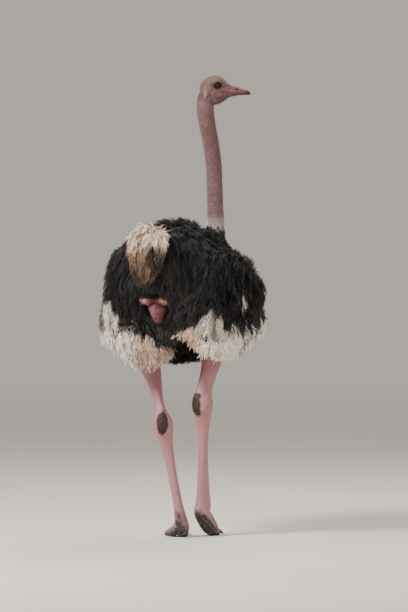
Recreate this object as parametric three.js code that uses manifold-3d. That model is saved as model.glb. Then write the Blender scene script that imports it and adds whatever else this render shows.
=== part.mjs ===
// A life-size male Masai ostrich, walking slowly with its head turned to its right.
// Millimetres, +Z up. The bird faces -Y and its left side is +X.
// The solids reach to the outside of the plumage. Neighbours keep a gap of GAP.
import * as THREE from "three";
import { mergeVertices } from "three/addons/utils/BufferGeometryUtils.js";
import Module from "manifold-3d";

const wasm = await Module();
wasm.setup();

// ---- Driving dimensions ----
const GAP = 0.3; // left between two neighbouring solids
const TURN_OUT = 21; // how far each leg's plane turns out from straight ahead, in degrees
const HEAD_TURN = 68; // how far the head turns to the bird's right, in degrees

// Joints of the legs: the left foot stands flat, the right heel is lifted on its toe tip.
const LEFT_LEG = { knee: [208, -70, 946], ankle: [35, 150, 526], toe_joint: [-19, 54, 66] };
const RIGHT_LEG = { knee: [-178, -178, 1050], ankle: [-130, 68, 610], toe_joint: [-97, -17, 128] };

const EYES_MIDDLE = [-42, -331, 2052]; // midway between the eyes
const EYE_RADIUS = 18;
const EYE_SPREAD = 21.5; // from the head's middle to an eye's centre
const BILL_ROOT = 45; // how far the bill's root is ahead of the eyes
const NECK_CUTS = [2.55, 4.5, 6.55]; // places along NECK where the neck is divided

// ---- Vectors and smooth curves ----
const vector = (p) => new THREE.Vector3(...p);
const X = vector([1, 0, 0]);
const Z = vector([0, 0, 1]);
const radians = THREE.MathUtils.degToRad;

/** Level unit vector turned from straight ahead (-Y) towards the bird's left (+X). */
const heading = (degrees) => vector([Math.sin(radians(degrees)), -Math.cos(radians(degrees)), 0]);

/** Value at a place from 0 to the list's last index, on a uniform Catmull-Rom curve. */
function smooth(list, place) {
  const last = list.length - 1;
  const i = Math.min(Math.floor(place), last - 1);
  const f = place - i;
  const [a, b, c, d] = [i - 1, i, i + 1, i + 2].map((k) => list[Math.min(Math.max(k, 0), last)]);
  return b + 0.5 * f * (c - a + f * (2 * a - 5 * b + 4 * c - d + f * (3 * (b - c) + d - a)));
}

/** A section: where its middle is, half its width, half its height, and how much wider its top is. */
const section = (at, wide, high, egg = 0) => ({ at, wide, high, egg });

/** The section at a place along a list of sections. */
function sectionAt(sections, place) {
  const value = (pick) => smooth(sections.map(pick), place);
  const at = vector([0, 1, 2].map((k) => value((s) => s.at[k])));
  const size = (pick) => Math.max(value(pick), 0.5);
  return { at, wide: size((s) => s.wide), high: size((s) => s.high), egg: value((s) => s.egg) };
}

/** Unit vector along the sections' middle line. */
function tangentAt(sections, place) {
  const step = 0.02;
  const last = sections.length - 1;
  const ahead = sectionAt(sections, Math.min(place + step, last)).at;
  return ahead.sub(sectionAt(sections, Math.max(place - step, 0)).at).normalize();
}

// ---- Solids ----

/** A closed solid from points and the triangles between them, facing out whichever way they run. */
function solid(points, triangles) {
  const geometry = new THREE.BufferGeometry().setFromPoints(points);
  geometry.setIndex(triangles);
  return solidOf(geometry);
}

function solidOf(geometry) {
  const bare = geometry.clone();
  bare.deleteAttribute("normal");
  bare.deleteAttribute("uv");
  const merged = mergeVertices(bare, 1e-3);
  const build = (triVerts) =>
    new wasm.Manifold(
      new wasm.Mesh({ numProp: 3, vertProperties: merged.attributes.position.array, triVerts }),
    );
  const triVerts = new Uint32Array(merged.index.array);
  const made = build(triVerts);
  return made.volume() > 0 ? made : build(triVerts.reverse());
}

/** The largest single body of a solid, without slivers that a cut left. */
const mainBody = (made) => made.decompose().sort((a, b) => b.volume() - a.volume())[0];

/**
 * A limb: rings of points round the sections' middle line, closed at both ends.
 * axes(tangent) gives each ring's width and height directions. from and to are places along the
 * sections, and steps is the rings for each section. grow makes the limb that much larger all
 * round, trim shortens its two ends, and ripple scales its lower half from place to place.
 */
function limb(sections, axes, options = {}) {
  const last = sections.length - 1;
  const { sides = 12, steps = 2, grow = 0, square = 2 } = options;
  const { from = 0, to = last, trim = [0, 0], ripple = () => 1 } = options;
  const count = Math.max(1, Math.round((to - from) * steps));
  const points = [];
  for (let i = 0; i <= count; i++) {
    const place = from + ((to - from) * i) / count;
    const { at, wide, high, egg } = sectionAt(sections, place);
    const tangent = tangentAt(sections, place);
    const [across, up] = axes(tangent);
    if (i === 0) at.addScaledVector(tangent, trim[0] - grow);
    if (i === count) at.addScaledVector(tangent, grow - trim[1]);
    for (let j = 0; j < sides; j++) {
      const turn = (2 * Math.PI * j) / sides;
      const [c, s] = [Math.cos(turn), Math.sin(turn)];
      const squared = (v) => Math.sign(v) * Math.abs(v) ** (2 / square);
      const lower = s < 0 ? ripple(place) : 1;
      const out = at.clone().addScaledVector(across, (wide + grow) * squared(c) * (1 + egg * s));
      points.push(out.addScaledVector(up, (high * lower + grow) * squared(s)));
    }
  }
  const middle = (ring) => {
    const sum = new THREE.Vector3();
    for (let j = 0; j < sides; j++) sum.add(points[ring * sides + j]);
    return sum.divideScalar(sides);
  };
  const start = points.push(middle(0)) - 1;
  const end = points.push(middle(count)) - 1;
  const triangles = [];
  for (let j = 0; j < sides; j++) {
    const next = (j + 1) % sides;
    for (let i = 0; i < count; i++) {
      const [a, b] = [i * sides + j, i * sides + next];
      triangles.push(a, b, b + sides, a, b + sides, a + sides);
    }
    triangles.push(start, next, j, end, count * sides + j, count * sides + next);
  }
  return solid(points, triangles);
}

/** Ring directions square to the middle line: across stays as near as it can to one vector. */
const swept = (across) => (tangent) => {
  const side = across.clone().addScaledVector(tangent, -across.dot(tangent)).normalize();
  return [side, side.clone().cross(tangent)];
};

/** Ring directions that keep each ring standing, its width level. */
function standing(tangent) {
  const across = tangent.clone().cross(Z).normalize();
  return [across, across.clone().cross(tangent)];
}

/** Ring directions that never turn. */
const upright = (across, up) => () => [across, up];

/** An ellipsoid with its axes along X, Y and Z. */
function ellipsoid(middle, radii, grow = 0) {
  const ball = new THREE.SphereGeometry(1, 12, 8);
  ball.scale(...radii.map((r) => r + grow));
  return solidOf(ball.translate(...middle));
}

/** All space to one side of a plane: large enough for this bird. */
function halfSpace(point, normal) {
  const size = 4000;
  const box = new THREE.BoxGeometry(size, size, size).translate(0, 0, size / 2);
  box.applyQuaternion(new THREE.Quaternion().setFromUnitVectors(Z, normal));
  return solidOf(box.translate(...point.toArray()));
}

/** The point a share of the way from one point to another, then moved by an offset. */
const between = (a, b, share, offset = [0, 0, 0]) => a.map((v, k) => v + share * (b[k] - v) + offset[k]);

// ---- Trunk, wings and plumes ----

const TRUNK = [
  section([0, -498, 1128], 26, 28),
  section([0, -482, 1126], 92, 92),
  section([0, -430, 1122], 158, 160),
  section([0, -330, 1118], 210, 220, -0.12),
  section([0, -170, 1117], 252, 287, -0.14),
  section([0, 0, 1117], 286, 327, -0.06),
  section([0, 150, 1130], 278, 314),
  section([0, 265, 1160], 232, 260),
  section([0, 345, 1200], 168, 190),
  section([0, 398, 1240], 98, 110),
  section([0, 418, 1256], 30, 34),
];

const trunkShape = (grow = 0) => limb(TRUNK, upright(X, Z), { sides: 22, steps: 2, square: 2, grow });

/** The hollow of bare skin under the tail. */
const ventHollow = (grow = 0) => ellipsoid([0, 352, 1040], [72, 72, 78], grow);

function makeTrunk() {
  return trunkShape().subtract(ventHollow());
}

function makeVent() {
  const mound = ellipsoid([0, 300, 1042], [70, 52, 72]);
  return mainBody(mound.subtract(trunkShape(GAP).subtract(ventHollow(-GAP))));
}

const WING_EGG = -0.28; // a folded wing is thinner at its top

/** The folded wing's sections, for side 1, the left, or -1, the right. */
const wingSections = (side) => [
  section([side * 196, -350, 1140], 18, 28, WING_EGG),
  section([side * 224, -312, 1135], 46, 66, WING_EGG),
  section([side * 254, -215, 1125], 66, 123, WING_EGG),
  section([side * 276, -60, 1115], 74, 168, WING_EGG),
  section([side * 268, 80, 1103], 70, 199, WING_EGG),
  section([side * 242, 195, 1087], 62, 190, WING_EGG),
  section([side * 212, 276, 1076], 48, 134, WING_EGG),
  section([side * 186, 316, 1074], 18, 44, WING_EGG),
];

const wingShape = (side, grow = 0) =>
  limb(wingSections(side), upright(X, Z), { sides: 16, steps: 2, grow });

const makeWing = (side) => mainBody(wingShape(side).subtract(trunkShape(GAP)));

/** The white plumes that hang from each wing's tip round the back of the thigh. */
const PLUMES = {
  1: [
    section([326, -112, 1000], 14, 34),
    section([340, -20, 990], 30, 76),
    section([330, 80, 975], 40, 92),
    section([284, 172, 962], 40, 83),
    section([212, 246, 932], 38, 82),
    section([128, 270, 892], 36, 88),
    section([52, 246, 866], 30, 92),
    section([-38, 188, 872], 12, 30),
  ],
  "-1": [
    section([-326, -150, 1005], 14, 36),
    section([-342, -70, 996], 30, 60),
    section([-334, 40, 980], 38, 84),
    section([-292, 148, 944], 42, 112),
    section([-220, 226, 932], 40, 96),
    section([-140, 262, 953], 36, 56),
    section([-74, 276, 958], 26, 44),
    section([-36, 276, 960], 10, 20),
  ],
};
const LOCKS = 6; // lobes along the lower edge of each wing's white plumes
const lobes = (place) => 1 + 0.1 * Math.sin((2 * Math.PI * LOCKS * place) / (PLUMES[1].length - 1));

const plumesShape = (side) => limb(PLUMES[side], standing, { sides: 10, steps: 3, ripple: lobes });

function makePlumes(side) {
  const rest = [trunkShape(GAP), wingShape(side, GAP), legFlesh(1), legFlesh(-1)];
  return mainBody(rest.reduce((left, cut) => left.subtract(cut), plumesShape(side)));
}

const TAIL = [
  section([-10, 336, 1345], 58, 30),
  section([-12, 378, 1394], 84, 36),
  section([-12, 414, 1382], 98, 42),
  section([-10, 436, 1320], 101, 44),
  section([-4, 444, 1250], 92, 42),
  section([8, 444, 1180], 60, 34),
  section([16, 442, 1122], 18, 14),
];

const makeTail = () =>
  mainBody(limb(TAIL, swept(X), { sides: 12, steps: 2 }).subtract(trunkShape(GAP)));

// ---- Neck and head ----

const NECK = [
  section([0, -300, 1180], 84, 92),
  section([0, -372, 1280], 62, 68),
  section([0, -404, 1372], 45, 48),
  section([0, -412, 1452], 39, 40),
  section([2, -409, 1560], 37.5, 38.5),
  section([4, -399, 1690], 37, 38),
  section([7, -366, 1800], 38, 39),
  section([10, -332, 1880], 39, 39.5),
  section([10, -312, 1940], 40.5, 40),
  section([6, -312, 1995], 39, 38),
  section([-8, -320, 2040], 28, 28),
];
const NECK_END = NECK.length - 1;

const neckPiece = (from, to, trim) => limb(NECK, swept(X), { sides: 14, steps: 2, from, to, trim });

function makeNeck(index) {
  const [from, to] = [[0, ...NECK_CUTS][index], NECK_CUTS[index]];
  const made = neckPiece(from, to, [index ? GAP / 2 : 0, GAP / 2]);
  return index ? made : mainBody(made.subtract(trunkShape(GAP)));
}

const AHEAD = heading(-HEAD_TURN); // the way the bill points
const HEAD_LEFT = Z.clone().cross(AHEAD);

/** A section of the head: how far ahead of the eyes, its top and bottom from their height, half width. */
function headSection(ahead, top, bottom, wide, egg) {
  const at = vector(EYES_MIDDLE).addScaledVector(AHEAD, ahead).addScaledVector(Z, (top + bottom) / 2);
  return section(at.toArray(), wide, (top - bottom) / 2, egg);
}

const HEAD = [
  headSection(-73, 8, -24, 12, 0),
  headSection(-66, 20, -42, 25, 0.05),
  headSection(-50, 34, -62, 33, 0.1),
  headSection(-28, 42, -78, 37.5, 0.18),
  headSection(-8, 45.5, -88, 39.5, 0.24),
  headSection(12, 42, -84, 38.5, 0.26),
  headSection(30, 31.5, -73, 34.5, 0.2),
  headSection(45, 21, -63, 31.5, 0.1),
  headSection(66, 4.5, -53, 28, 0.02),
  headSection(90, -6.5, -47.5, 22.5, 0),
  headSection(116, -17, -44.5, 17.5, 0),
  headSection(136, -24.5, -44, 13, 0),
  headSection(148, -31.5, -42, 8, 0),
  headSection(151.5, -34.5, -40, 3, 0),
];

const headAndBill = () => limb(HEAD, upright(HEAD_LEFT, Z), { sides: 16, steps: 1 });
const billRoot = (offset) => vector(EYES_MIDDLE).addScaledVector(AHEAD, BILL_ROOT + offset);

const eyePlace = (side) => vector(EYES_MIDDLE).addScaledVector(HEAD_LEFT, side * EYE_SPREAD);

function makeEye(side, grow = 0) {
  const ball = new THREE.SphereGeometry(EYE_RADIUS + grow, 14, 8);
  return solidOf(ball.translate(...eyePlace(side).toArray()));
}

function makeHead() {
  const back = headAndBill().intersect(halfSpace(billRoot(-GAP / 2), AHEAD.clone().negate()));
  const nape = neckPiece(NECK_CUTS[2], NECK_END, [GAP / 2, 0]);
  return back.add(nape).subtract(makeEye(1, GAP)).subtract(makeEye(-1, GAP));
}

const MOUTH_HEIGHT = -32; // of the mouth line at the bill's root, from the eyes' height
const MOUTH_DROP = 3.5; // degrees that the mouth line falls towards the bill's tip

/** The bill above the mouth line, or below it. */
function makeBill(above) {
  const bill = headAndBill().intersect(halfSpace(billRoot(GAP / 2), AHEAD));
  const across = HEAD_LEFT.clone().multiplyScalar(above);
  const normal = Z.clone().multiplyScalar(above).applyAxisAngle(across, radians(MOUTH_DROP) * above);
  const onLine = billRoot(0).addScaledVector(Z, MOUTH_HEIGHT + (above * GAP) / 2);
  return mainBody(bill.intersect(halfSpace(onLine, normal)));
}

// ---- Legs and feet ----

const legOf = (side) => (side > 0 ? LEFT_LEG : RIGHT_LEG);
const legAhead = (side) => heading(side * TURN_OUT);
const legOut = (side) => Z.clone().cross(legAhead(side)).multiplyScalar(side);

/** The thigh and shank down to the ankle: flesh lies behind the bone and outside it. */
function shankSections(side) {
  const { knee, ankle } = legOf(side);
  const rows = [
    // share of the way down from the knee, flesh behind, flesh outside, half width, half depth
    [-0.16, 30, -22, 62, 84],
    [0.0, 44, -4, 80, 108],
    [0.2, 54, 2, 68, 96],
    [0.38, 48, 8, 52, 76],
    [0.52, 36, 4, 38, 60],
    [0.66, 26, 0, 27, 49],
    [0.8, 22, 0, 22, 46],
    [0.9, 16, 0, 29, 49],
    [1.0, 5, 0, 43, 49],
    [1.08, 0, 0, 41, 43],
  ];
  return rows.map(([share, behind, outside, wide, deep]) => {
    const offset = legAhead(side).multiplyScalar(-behind).addScaledVector(legOut(side), outside);
    return section(between(knee, ankle, share, offset.toArray()), wide, deep);
  });
}

/** The tarsus from the ankle down to the toe joint. */
function tarsusSections(side) {
  const { ankle, toe_joint } = legOf(side);
  const rows = [
    // share of the way down from the ankle, flesh behind, half width, half depth
    [-0.08, 4, 38, 44],
    [0.0, 3, 43, 47],
    [0.08, 2, 42, 42],
    [0.17, 1, 33, 31],
    [0.28, 0, 26, 24],
    [0.45, 0, 21.5, 22],
    [0.64, 0, 20.5, 28],
    [0.82, 0, 22, 36],
    [0.93, 0, 26, 41],
    [1.0, 0, 29, 40],
    [1.06, 0, 20, 26],
  ];
  return rows.map(([share, behind, wide, deep]) => {
    const offset = legAhead(side).multiplyScalar(-behind);
    return section(between(ankle, toe_joint, share, offset.toArray()), wide, deep);
  });
}

const THIGH_END = 4; // the place along the shank's sections where the thigh ends
const shankPiece = (side, options) => limb(shankSections(side), swept(legOut(side)), { sides: 14, ...options });
const legFlesh = (side) => shankPiece(side, { grow: GAP });

/** All space above the ankle (end -1) or below it (end 1), parted by the plane that halves its bend. */
function ankleSide(side, end) {
  const [knee, ankle, joint] = Object.values(legOf(side)).map(vector);
  const down = ankle.clone().sub(knee).normalize().add(joint.sub(ankle).normalize()).normalize();
  return halfSpace(ankle.addScaledVector(down, (end * GAP) / 2), down.multiplyScalar(end));
}

/** The thigh or the shank, clear of the trunk and the wing. */
function makeFlesh(side, options) {
  const made = shankPiece(side, options).intersect(ankleSide(side, -1));
  return mainBody(made.subtract(trunkShape(GAP)).subtract(wingShape(side, GAP)));
}

const makeThigh = (side) => makeFlesh(side, { to: THIGH_END, trim: [0, GAP / 2] });
const makeShank = (side) => makeFlesh(side, { from: THIGH_END, trim: [GAP / 2, 0] });

const tarsusShape = (side, grow = 0) =>
  limb(tarsusSections(side), swept(legOut(side)), { sides: 14, steps: 1, grow });

/** Sections of a toe in its leg's own directions: rows of ahead, out, height, half width, half height. */
function toeSections(side, rows) {
  const joint = vector(legOf(side).toe_joint).setZ(0);
  return rows.map(([ahead, out, height, wide, high]) => {
    const at = joint.clone().addScaledVector(legAhead(side), ahead).addScaledVector(legOut(side), out);
    return section(at.setZ(height).toArray(), wide, high);
  });
}

// The left foot is flat on the ground. The right one hangs from its lifted joint to its toe tip.
// Pads reach a few millimetres below the ground and are cut flat there.
const MAIN_TOE = {
  1: [
    [-26, -4, 62, 20, 20],
    [-8, -4, 50, 30, 38],
    [28, -4, 32, 30, 36],
    [72, -4, 24, 29, 28],
    [112, -4, 19, 28, 23],
    [146, -4, 15, 25, 18],
    [168, -4, 12, 16, 13],
    [175, -4, 11, 8, 6],
  ],
  "-1": [
    [-30, -2, 134, 20, 20],
    [-12, -3, 112, 30, 34],
    [8, -4, 80, 30, 33],
    [28, -5, 50, 28, 29],
    [54, -6, 28, 28, 26],
    [80, -7, 17, 26, 20],
    [102, -8, 12, 19, 15],
    [111, -8, 11, 8, 6],
  ],
};
const OUTER_TOE = {
  1: [
    [-8, 22, 52, 15, 20],
    [22, 36, 25, 19, 26],
    [52, 50, 17, 18, 20],
    [82, 62, 12, 17, 15],
    [98, 68, 10, 12, 11],
    [104, 70, 9, 5, 5],
  ],
  "-1": [
    [-12, 16, 118, 15, 20],
    [6, 26, 92, 18, 22],
    [20, 35, 66, 17, 19],
    [32, 42, 44, 16, 15],
    [40, 46, 32, 11, 11],
    [43, 47, 28, 5, 5],
  ],
};
const CLAW = {
  1: [
    [148, -4, 26, 11, 10],
    [170, -4, 24, 11, 9],
    [190, -4, 16, 8, 7],
    [204, -4, 9, 4, 4],
    [210, -4, 5, 1.5, 1.5],
  ],
  "-1": [
    [88, -7, 26, 11, 10],
    [110, -8, 21, 11, 9],
    [126, -8, 14, 8, 7],
    [138, -8, 8, 4, 4],
    [144, -8, 5, 1.5, 1.5],
  ],
};

const floor = () => halfSpace(vector([0, 0, 0]), Z);
const toeShape = (side, table, grow = 0) =>
  limb(toeSections(side, table[side]), swept(legOut(side)), { sides: 12, steps: 1, grow });

const makeClaw = (side) => toeShape(side, CLAW);
const makeTarsus = (side) => tarsusShape(side).intersect(ankleSide(side, 1)).intersect(floor());

function makeMainToe(side) {
  const bare = toeShape(side, MAIN_TOE).subtract(tarsusShape(side, GAP));
  return mainBody(bare.subtract(toeShape(side, CLAW, GAP)).intersect(floor()));
}

function makeOuterToe(side) {
  const bare = toeShape(side, OUTER_TOE).subtract(tarsusShape(side, GAP));
  return mainBody(bare.subtract(toeShape(side, MAIN_TOE, GAP)).intersect(floor()));
}

// ---- Materials and the group ----

const finish = (color, roughness) => new THREE.MeshStandardMaterial({ color, roughness, metalness: 0 });
const SKIN = finish("#a07d80", 0.65);
const LEG_SKIN = finish("#b58794", 0.6);
const BLACK_FEATHER = finish("#17161a", 0.85);
const WHITE_FEATHER = finish("#d9cfc2", 0.9);
const TAIL_FEATHER = finish("#b99f85", 0.9);
const HORN = finish("#b58b80", 0.5);
const CLAW_HORN = finish("#3b332c", 0.55);
const EYE = finish("#1a120e", 0.15);

function meshOf(name, made, material) {
  const { vertProperties, triVerts, numProp, numVert } = made.getMesh();
  const points = [];
  for (let i = 0; i < numVert; i++) points.push(vector(vertProperties.subarray(i * numProp, i * numProp + 3)));
  const geometry = new THREE.BufferGeometry().setFromPoints(points);
  geometry.setIndex([...triVerts]);
  geometry.computeVertexNormals();
  const mesh = new THREE.Mesh(geometry, material);
  mesh.name = name;
  return mesh;
}

const ostrich = new THREE.Group();
const put = (name, made, material) => ostrich.add(meshOf(name, made, material));

put("head", makeHead(), SKIN);
put("bill_upper", makeBill(1), HORN);
put("bill_lower", makeBill(-1), HORN);
put("trunk", makeTrunk(), BLACK_FEATHER);
put("vent", makeVent(), LEG_SKIN);
put("tail", makeTail(), TAIL_FEATHER);
["neck_lower", "neck_middle", "neck_upper"].forEach((name, i) => put(name, makeNeck(i), SKIN));
for (const [word, side] of [["left", 1], ["right", -1]]) {
  put(`eye_${word}`, makeEye(side), EYE);
  put(`wing_${word}`, makeWing(side), BLACK_FEATHER);
  put(`wing_plumes_${word}`, makePlumes(side), WHITE_FEATHER);
  put(`thigh_${word}`, makeThigh(side), LEG_SKIN);
  put(`shank_${word}`, makeShank(side), LEG_SKIN);
  put(`tarsus_${word}`, makeTarsus(side), LEG_SKIN);
  put(`toe_main_${word}`, makeMainToe(side), LEG_SKIN);
  put(`toe_outer_${word}`, makeOuterToe(side), LEG_SKIN);
  put(`claw_${word}`, makeClaw(side), CLAW_HORN);
}

// The origin lies on the ground under the middle of the bird's bounding box.
const middle = new THREE.Box3().setFromObject(ostrich).getCenter(new THREE.Vector3());
ostrich.position.set(-middle.x, -middle.y, 0);

export default ostrich;
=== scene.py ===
"""A life-size male ostrich as a still museum model: one skin, horn bill and claws, eyes and plumage.

Tables of places and sizes are in millimetres in the bird's own frame: it faces -Y, its left side
is +X and the ground is at height 0. Meshes are made in metres in the part's frame.
"""

from __future__ import annotations

import logging
import math
from collections.abc import Callable
from dataclasses import dataclass, field
from enum import Enum
from functools import partial

import bmesh
import bpy
import numpy as np
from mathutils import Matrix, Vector

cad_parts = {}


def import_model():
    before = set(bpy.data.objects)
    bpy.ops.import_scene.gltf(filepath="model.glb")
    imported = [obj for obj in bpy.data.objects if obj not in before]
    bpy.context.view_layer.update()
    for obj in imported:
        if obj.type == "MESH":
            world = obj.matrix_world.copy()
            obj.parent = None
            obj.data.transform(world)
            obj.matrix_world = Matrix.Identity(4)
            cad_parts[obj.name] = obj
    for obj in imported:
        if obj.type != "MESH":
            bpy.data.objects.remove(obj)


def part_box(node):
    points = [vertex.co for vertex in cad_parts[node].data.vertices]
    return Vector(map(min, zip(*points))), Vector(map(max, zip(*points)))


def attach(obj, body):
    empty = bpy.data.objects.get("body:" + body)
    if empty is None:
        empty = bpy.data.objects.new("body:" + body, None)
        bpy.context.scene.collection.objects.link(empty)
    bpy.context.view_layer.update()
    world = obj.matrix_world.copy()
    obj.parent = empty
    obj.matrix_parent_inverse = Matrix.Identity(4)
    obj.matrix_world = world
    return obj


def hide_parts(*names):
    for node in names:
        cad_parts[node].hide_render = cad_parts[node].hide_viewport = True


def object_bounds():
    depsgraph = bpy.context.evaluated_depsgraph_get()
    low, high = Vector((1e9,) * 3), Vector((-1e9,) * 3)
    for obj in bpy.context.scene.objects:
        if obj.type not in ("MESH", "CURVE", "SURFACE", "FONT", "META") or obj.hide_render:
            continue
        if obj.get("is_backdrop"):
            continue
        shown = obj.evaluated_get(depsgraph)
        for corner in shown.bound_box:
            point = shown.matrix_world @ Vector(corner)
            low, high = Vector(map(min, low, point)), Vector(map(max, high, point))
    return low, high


log = logging.getLogger("ostrich")
Array = np.ndarray
Thing = bpy.types.Object
Material = bpy.types.Material
Socket = bpy.types.NodeSocket
Triple = tuple[float, float, float]
Row = tuple[float, ...]
Rows = tuple[Row, ...]
Measure = Callable[[Array], Array]  # a number or a direction for each place
MM = 0.001

# ---------------------------------------------------------------- driving sizes

TURN_OUT = 21.0  # how far each leg's plane turns out from straight ahead, in degrees
HEAD_TURN = 68.0  # how far the head turns to the bird's right, in degrees
EYES_MIDDLE = (-42.0, -331.0, 2052.0)  # midway between the eyes
EYE_RADIUS = 18.0
EYE_SPREAD = 21.5  # from the head's middle to an eye's centre
COAT_DEPTH = 42.0  # how far the skin lies inside the body's plumage
DOWN_DEPTH = 2.2  # how far it lies inside the short down of head and neck
VENT_X = -8.0  # the vent's middle, from side to side
COAT_SHADE = (0.009, 0.008, 0.008)  # near-black painted shade on the skin where plumes hide it, so gaps in the coat read as shadow


class Side(Enum):
    """The bird's left or right side, with the sign of X there."""

    LEFT = 1
    RIGHT = -1

    @property
    def word(self) -> str:
        """The side's name in lower case."""
        return self.name.lower()


def unit(vectors: Array) -> Array:
    """Vectors scaled to length one, along the last axis."""
    return vectors / np.maximum(np.linalg.norm(vectors, axis=-1, keepdims=True), 1e-12)


def heading(degrees: float) -> Array:
    """Level unit vector turned from straight ahead towards the bird's left."""
    turn = math.radians(degrees)
    return np.array([math.sin(turn), -math.cos(turn), 0.0])


AHEAD = heading(-HEAD_TURN)
UP = np.array([0.0, 0.0, 1.0])
HEAD_LEFT = np.cross(UP, AHEAD)


def ramp(values: Array, low: float, high: float) -> Array:
    """Smooth step from 0 at low to 1 at high; it falls where high is below low."""
    share = np.clip((values - low) / (high - low), 0.0, 1.0)
    return share * share * (3.0 - 2.0 * share)


def bell(values: Array, middle: float, width: float) -> Array:
    """Smooth bump of height 1 at the middle, nearly 0 two widths away."""
    return np.exp(-(((values - middle) / width) ** 2))


def between(a: Array, b: Array, share: Array) -> Array:
    """Values a share of the way from a to b."""
    return a * (1 - share) + b * share


def lumps(points: Array, size: float, seed: int = 0) -> Array:
    """Smooth noise from -1 to 1 in space.

    Args:
        points: places, N by 3.
        size: distance between lumps, in the points' own unit.
        seed: number that picks another pattern.

    Returns:
        One value for each place.
    """
    cells = points / size + 19.37 * seed
    base = np.floor(cells).astype(np.int64)
    part = cells - base
    part = part * part * (3.0 - 2.0 * part)
    total = np.zeros(len(points))
    for corner in range(8):
        step = np.array([corner & 1, corner >> 1 & 1, corner >> 2 & 1])
        node = base + step
        code = node[:, 0] * 73856093 ^ node[:, 1] * 19349663 ^ node[:, 2] * 83492791 ^ seed * 2654435
        code = (code ^ code >> 13) * 1274126177 & 0x7FFFFFFF
        code = (code ^ code >> 15) & 0xFFFF
        weight = np.prod(np.where(step == 1, part, 1.0 - part), axis=1)
        total += weight * (code / 32767.5 - 1.0)
    return total


# ---------------------------------------------------------------- limbs


class Rings(Enum):
    """How the cross-sections of a limb stand."""

    SWEPT = "square to the middle line"
    STANDING = "upright, square to the middle line seen from above"
    FIXED = "never turning"


@dataclass(frozen=True)
class Stations:
    """Cross-sections at many places along a limb."""

    at: Array
    across: Array
    up: Array
    along: Array
    wide: Array
    high: Array
    egg: Array


def smooth(values: Array, places: Array) -> Array:
    """Values at fractional places on a uniform Catmull-Rom curve through the rows."""
    last = len(values) - 1
    index = np.clip(np.floor(places).astype(int), 0, last - 1)
    part = (places - index)[:, None]
    a, b, c, d = (values[np.clip(index + k, 0, last)] for k in (-1, 0, 1, 2))
    bend = 2 * a - 5 * b + 4 * c - d + part * (3 * (b - c) + d - a)
    return b + 0.5 * part * (c - a + part * bend)


def off_surface(share: Array, reach: Array, small: Array | float) -> Array:
    """Signed distance, roughly, from a rounded form.

    Args:
        share: 0 in the form's middle and 1 on its surface.
        reach: distance from the middle.
        small: the form's least half size.

    Returns:
        One distance for each place, negative inside.
    """
    return np.where(share > 0.2, reach * (1 - 1 / np.maximum(share, 0.2)), -small * (1 - share))


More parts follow.
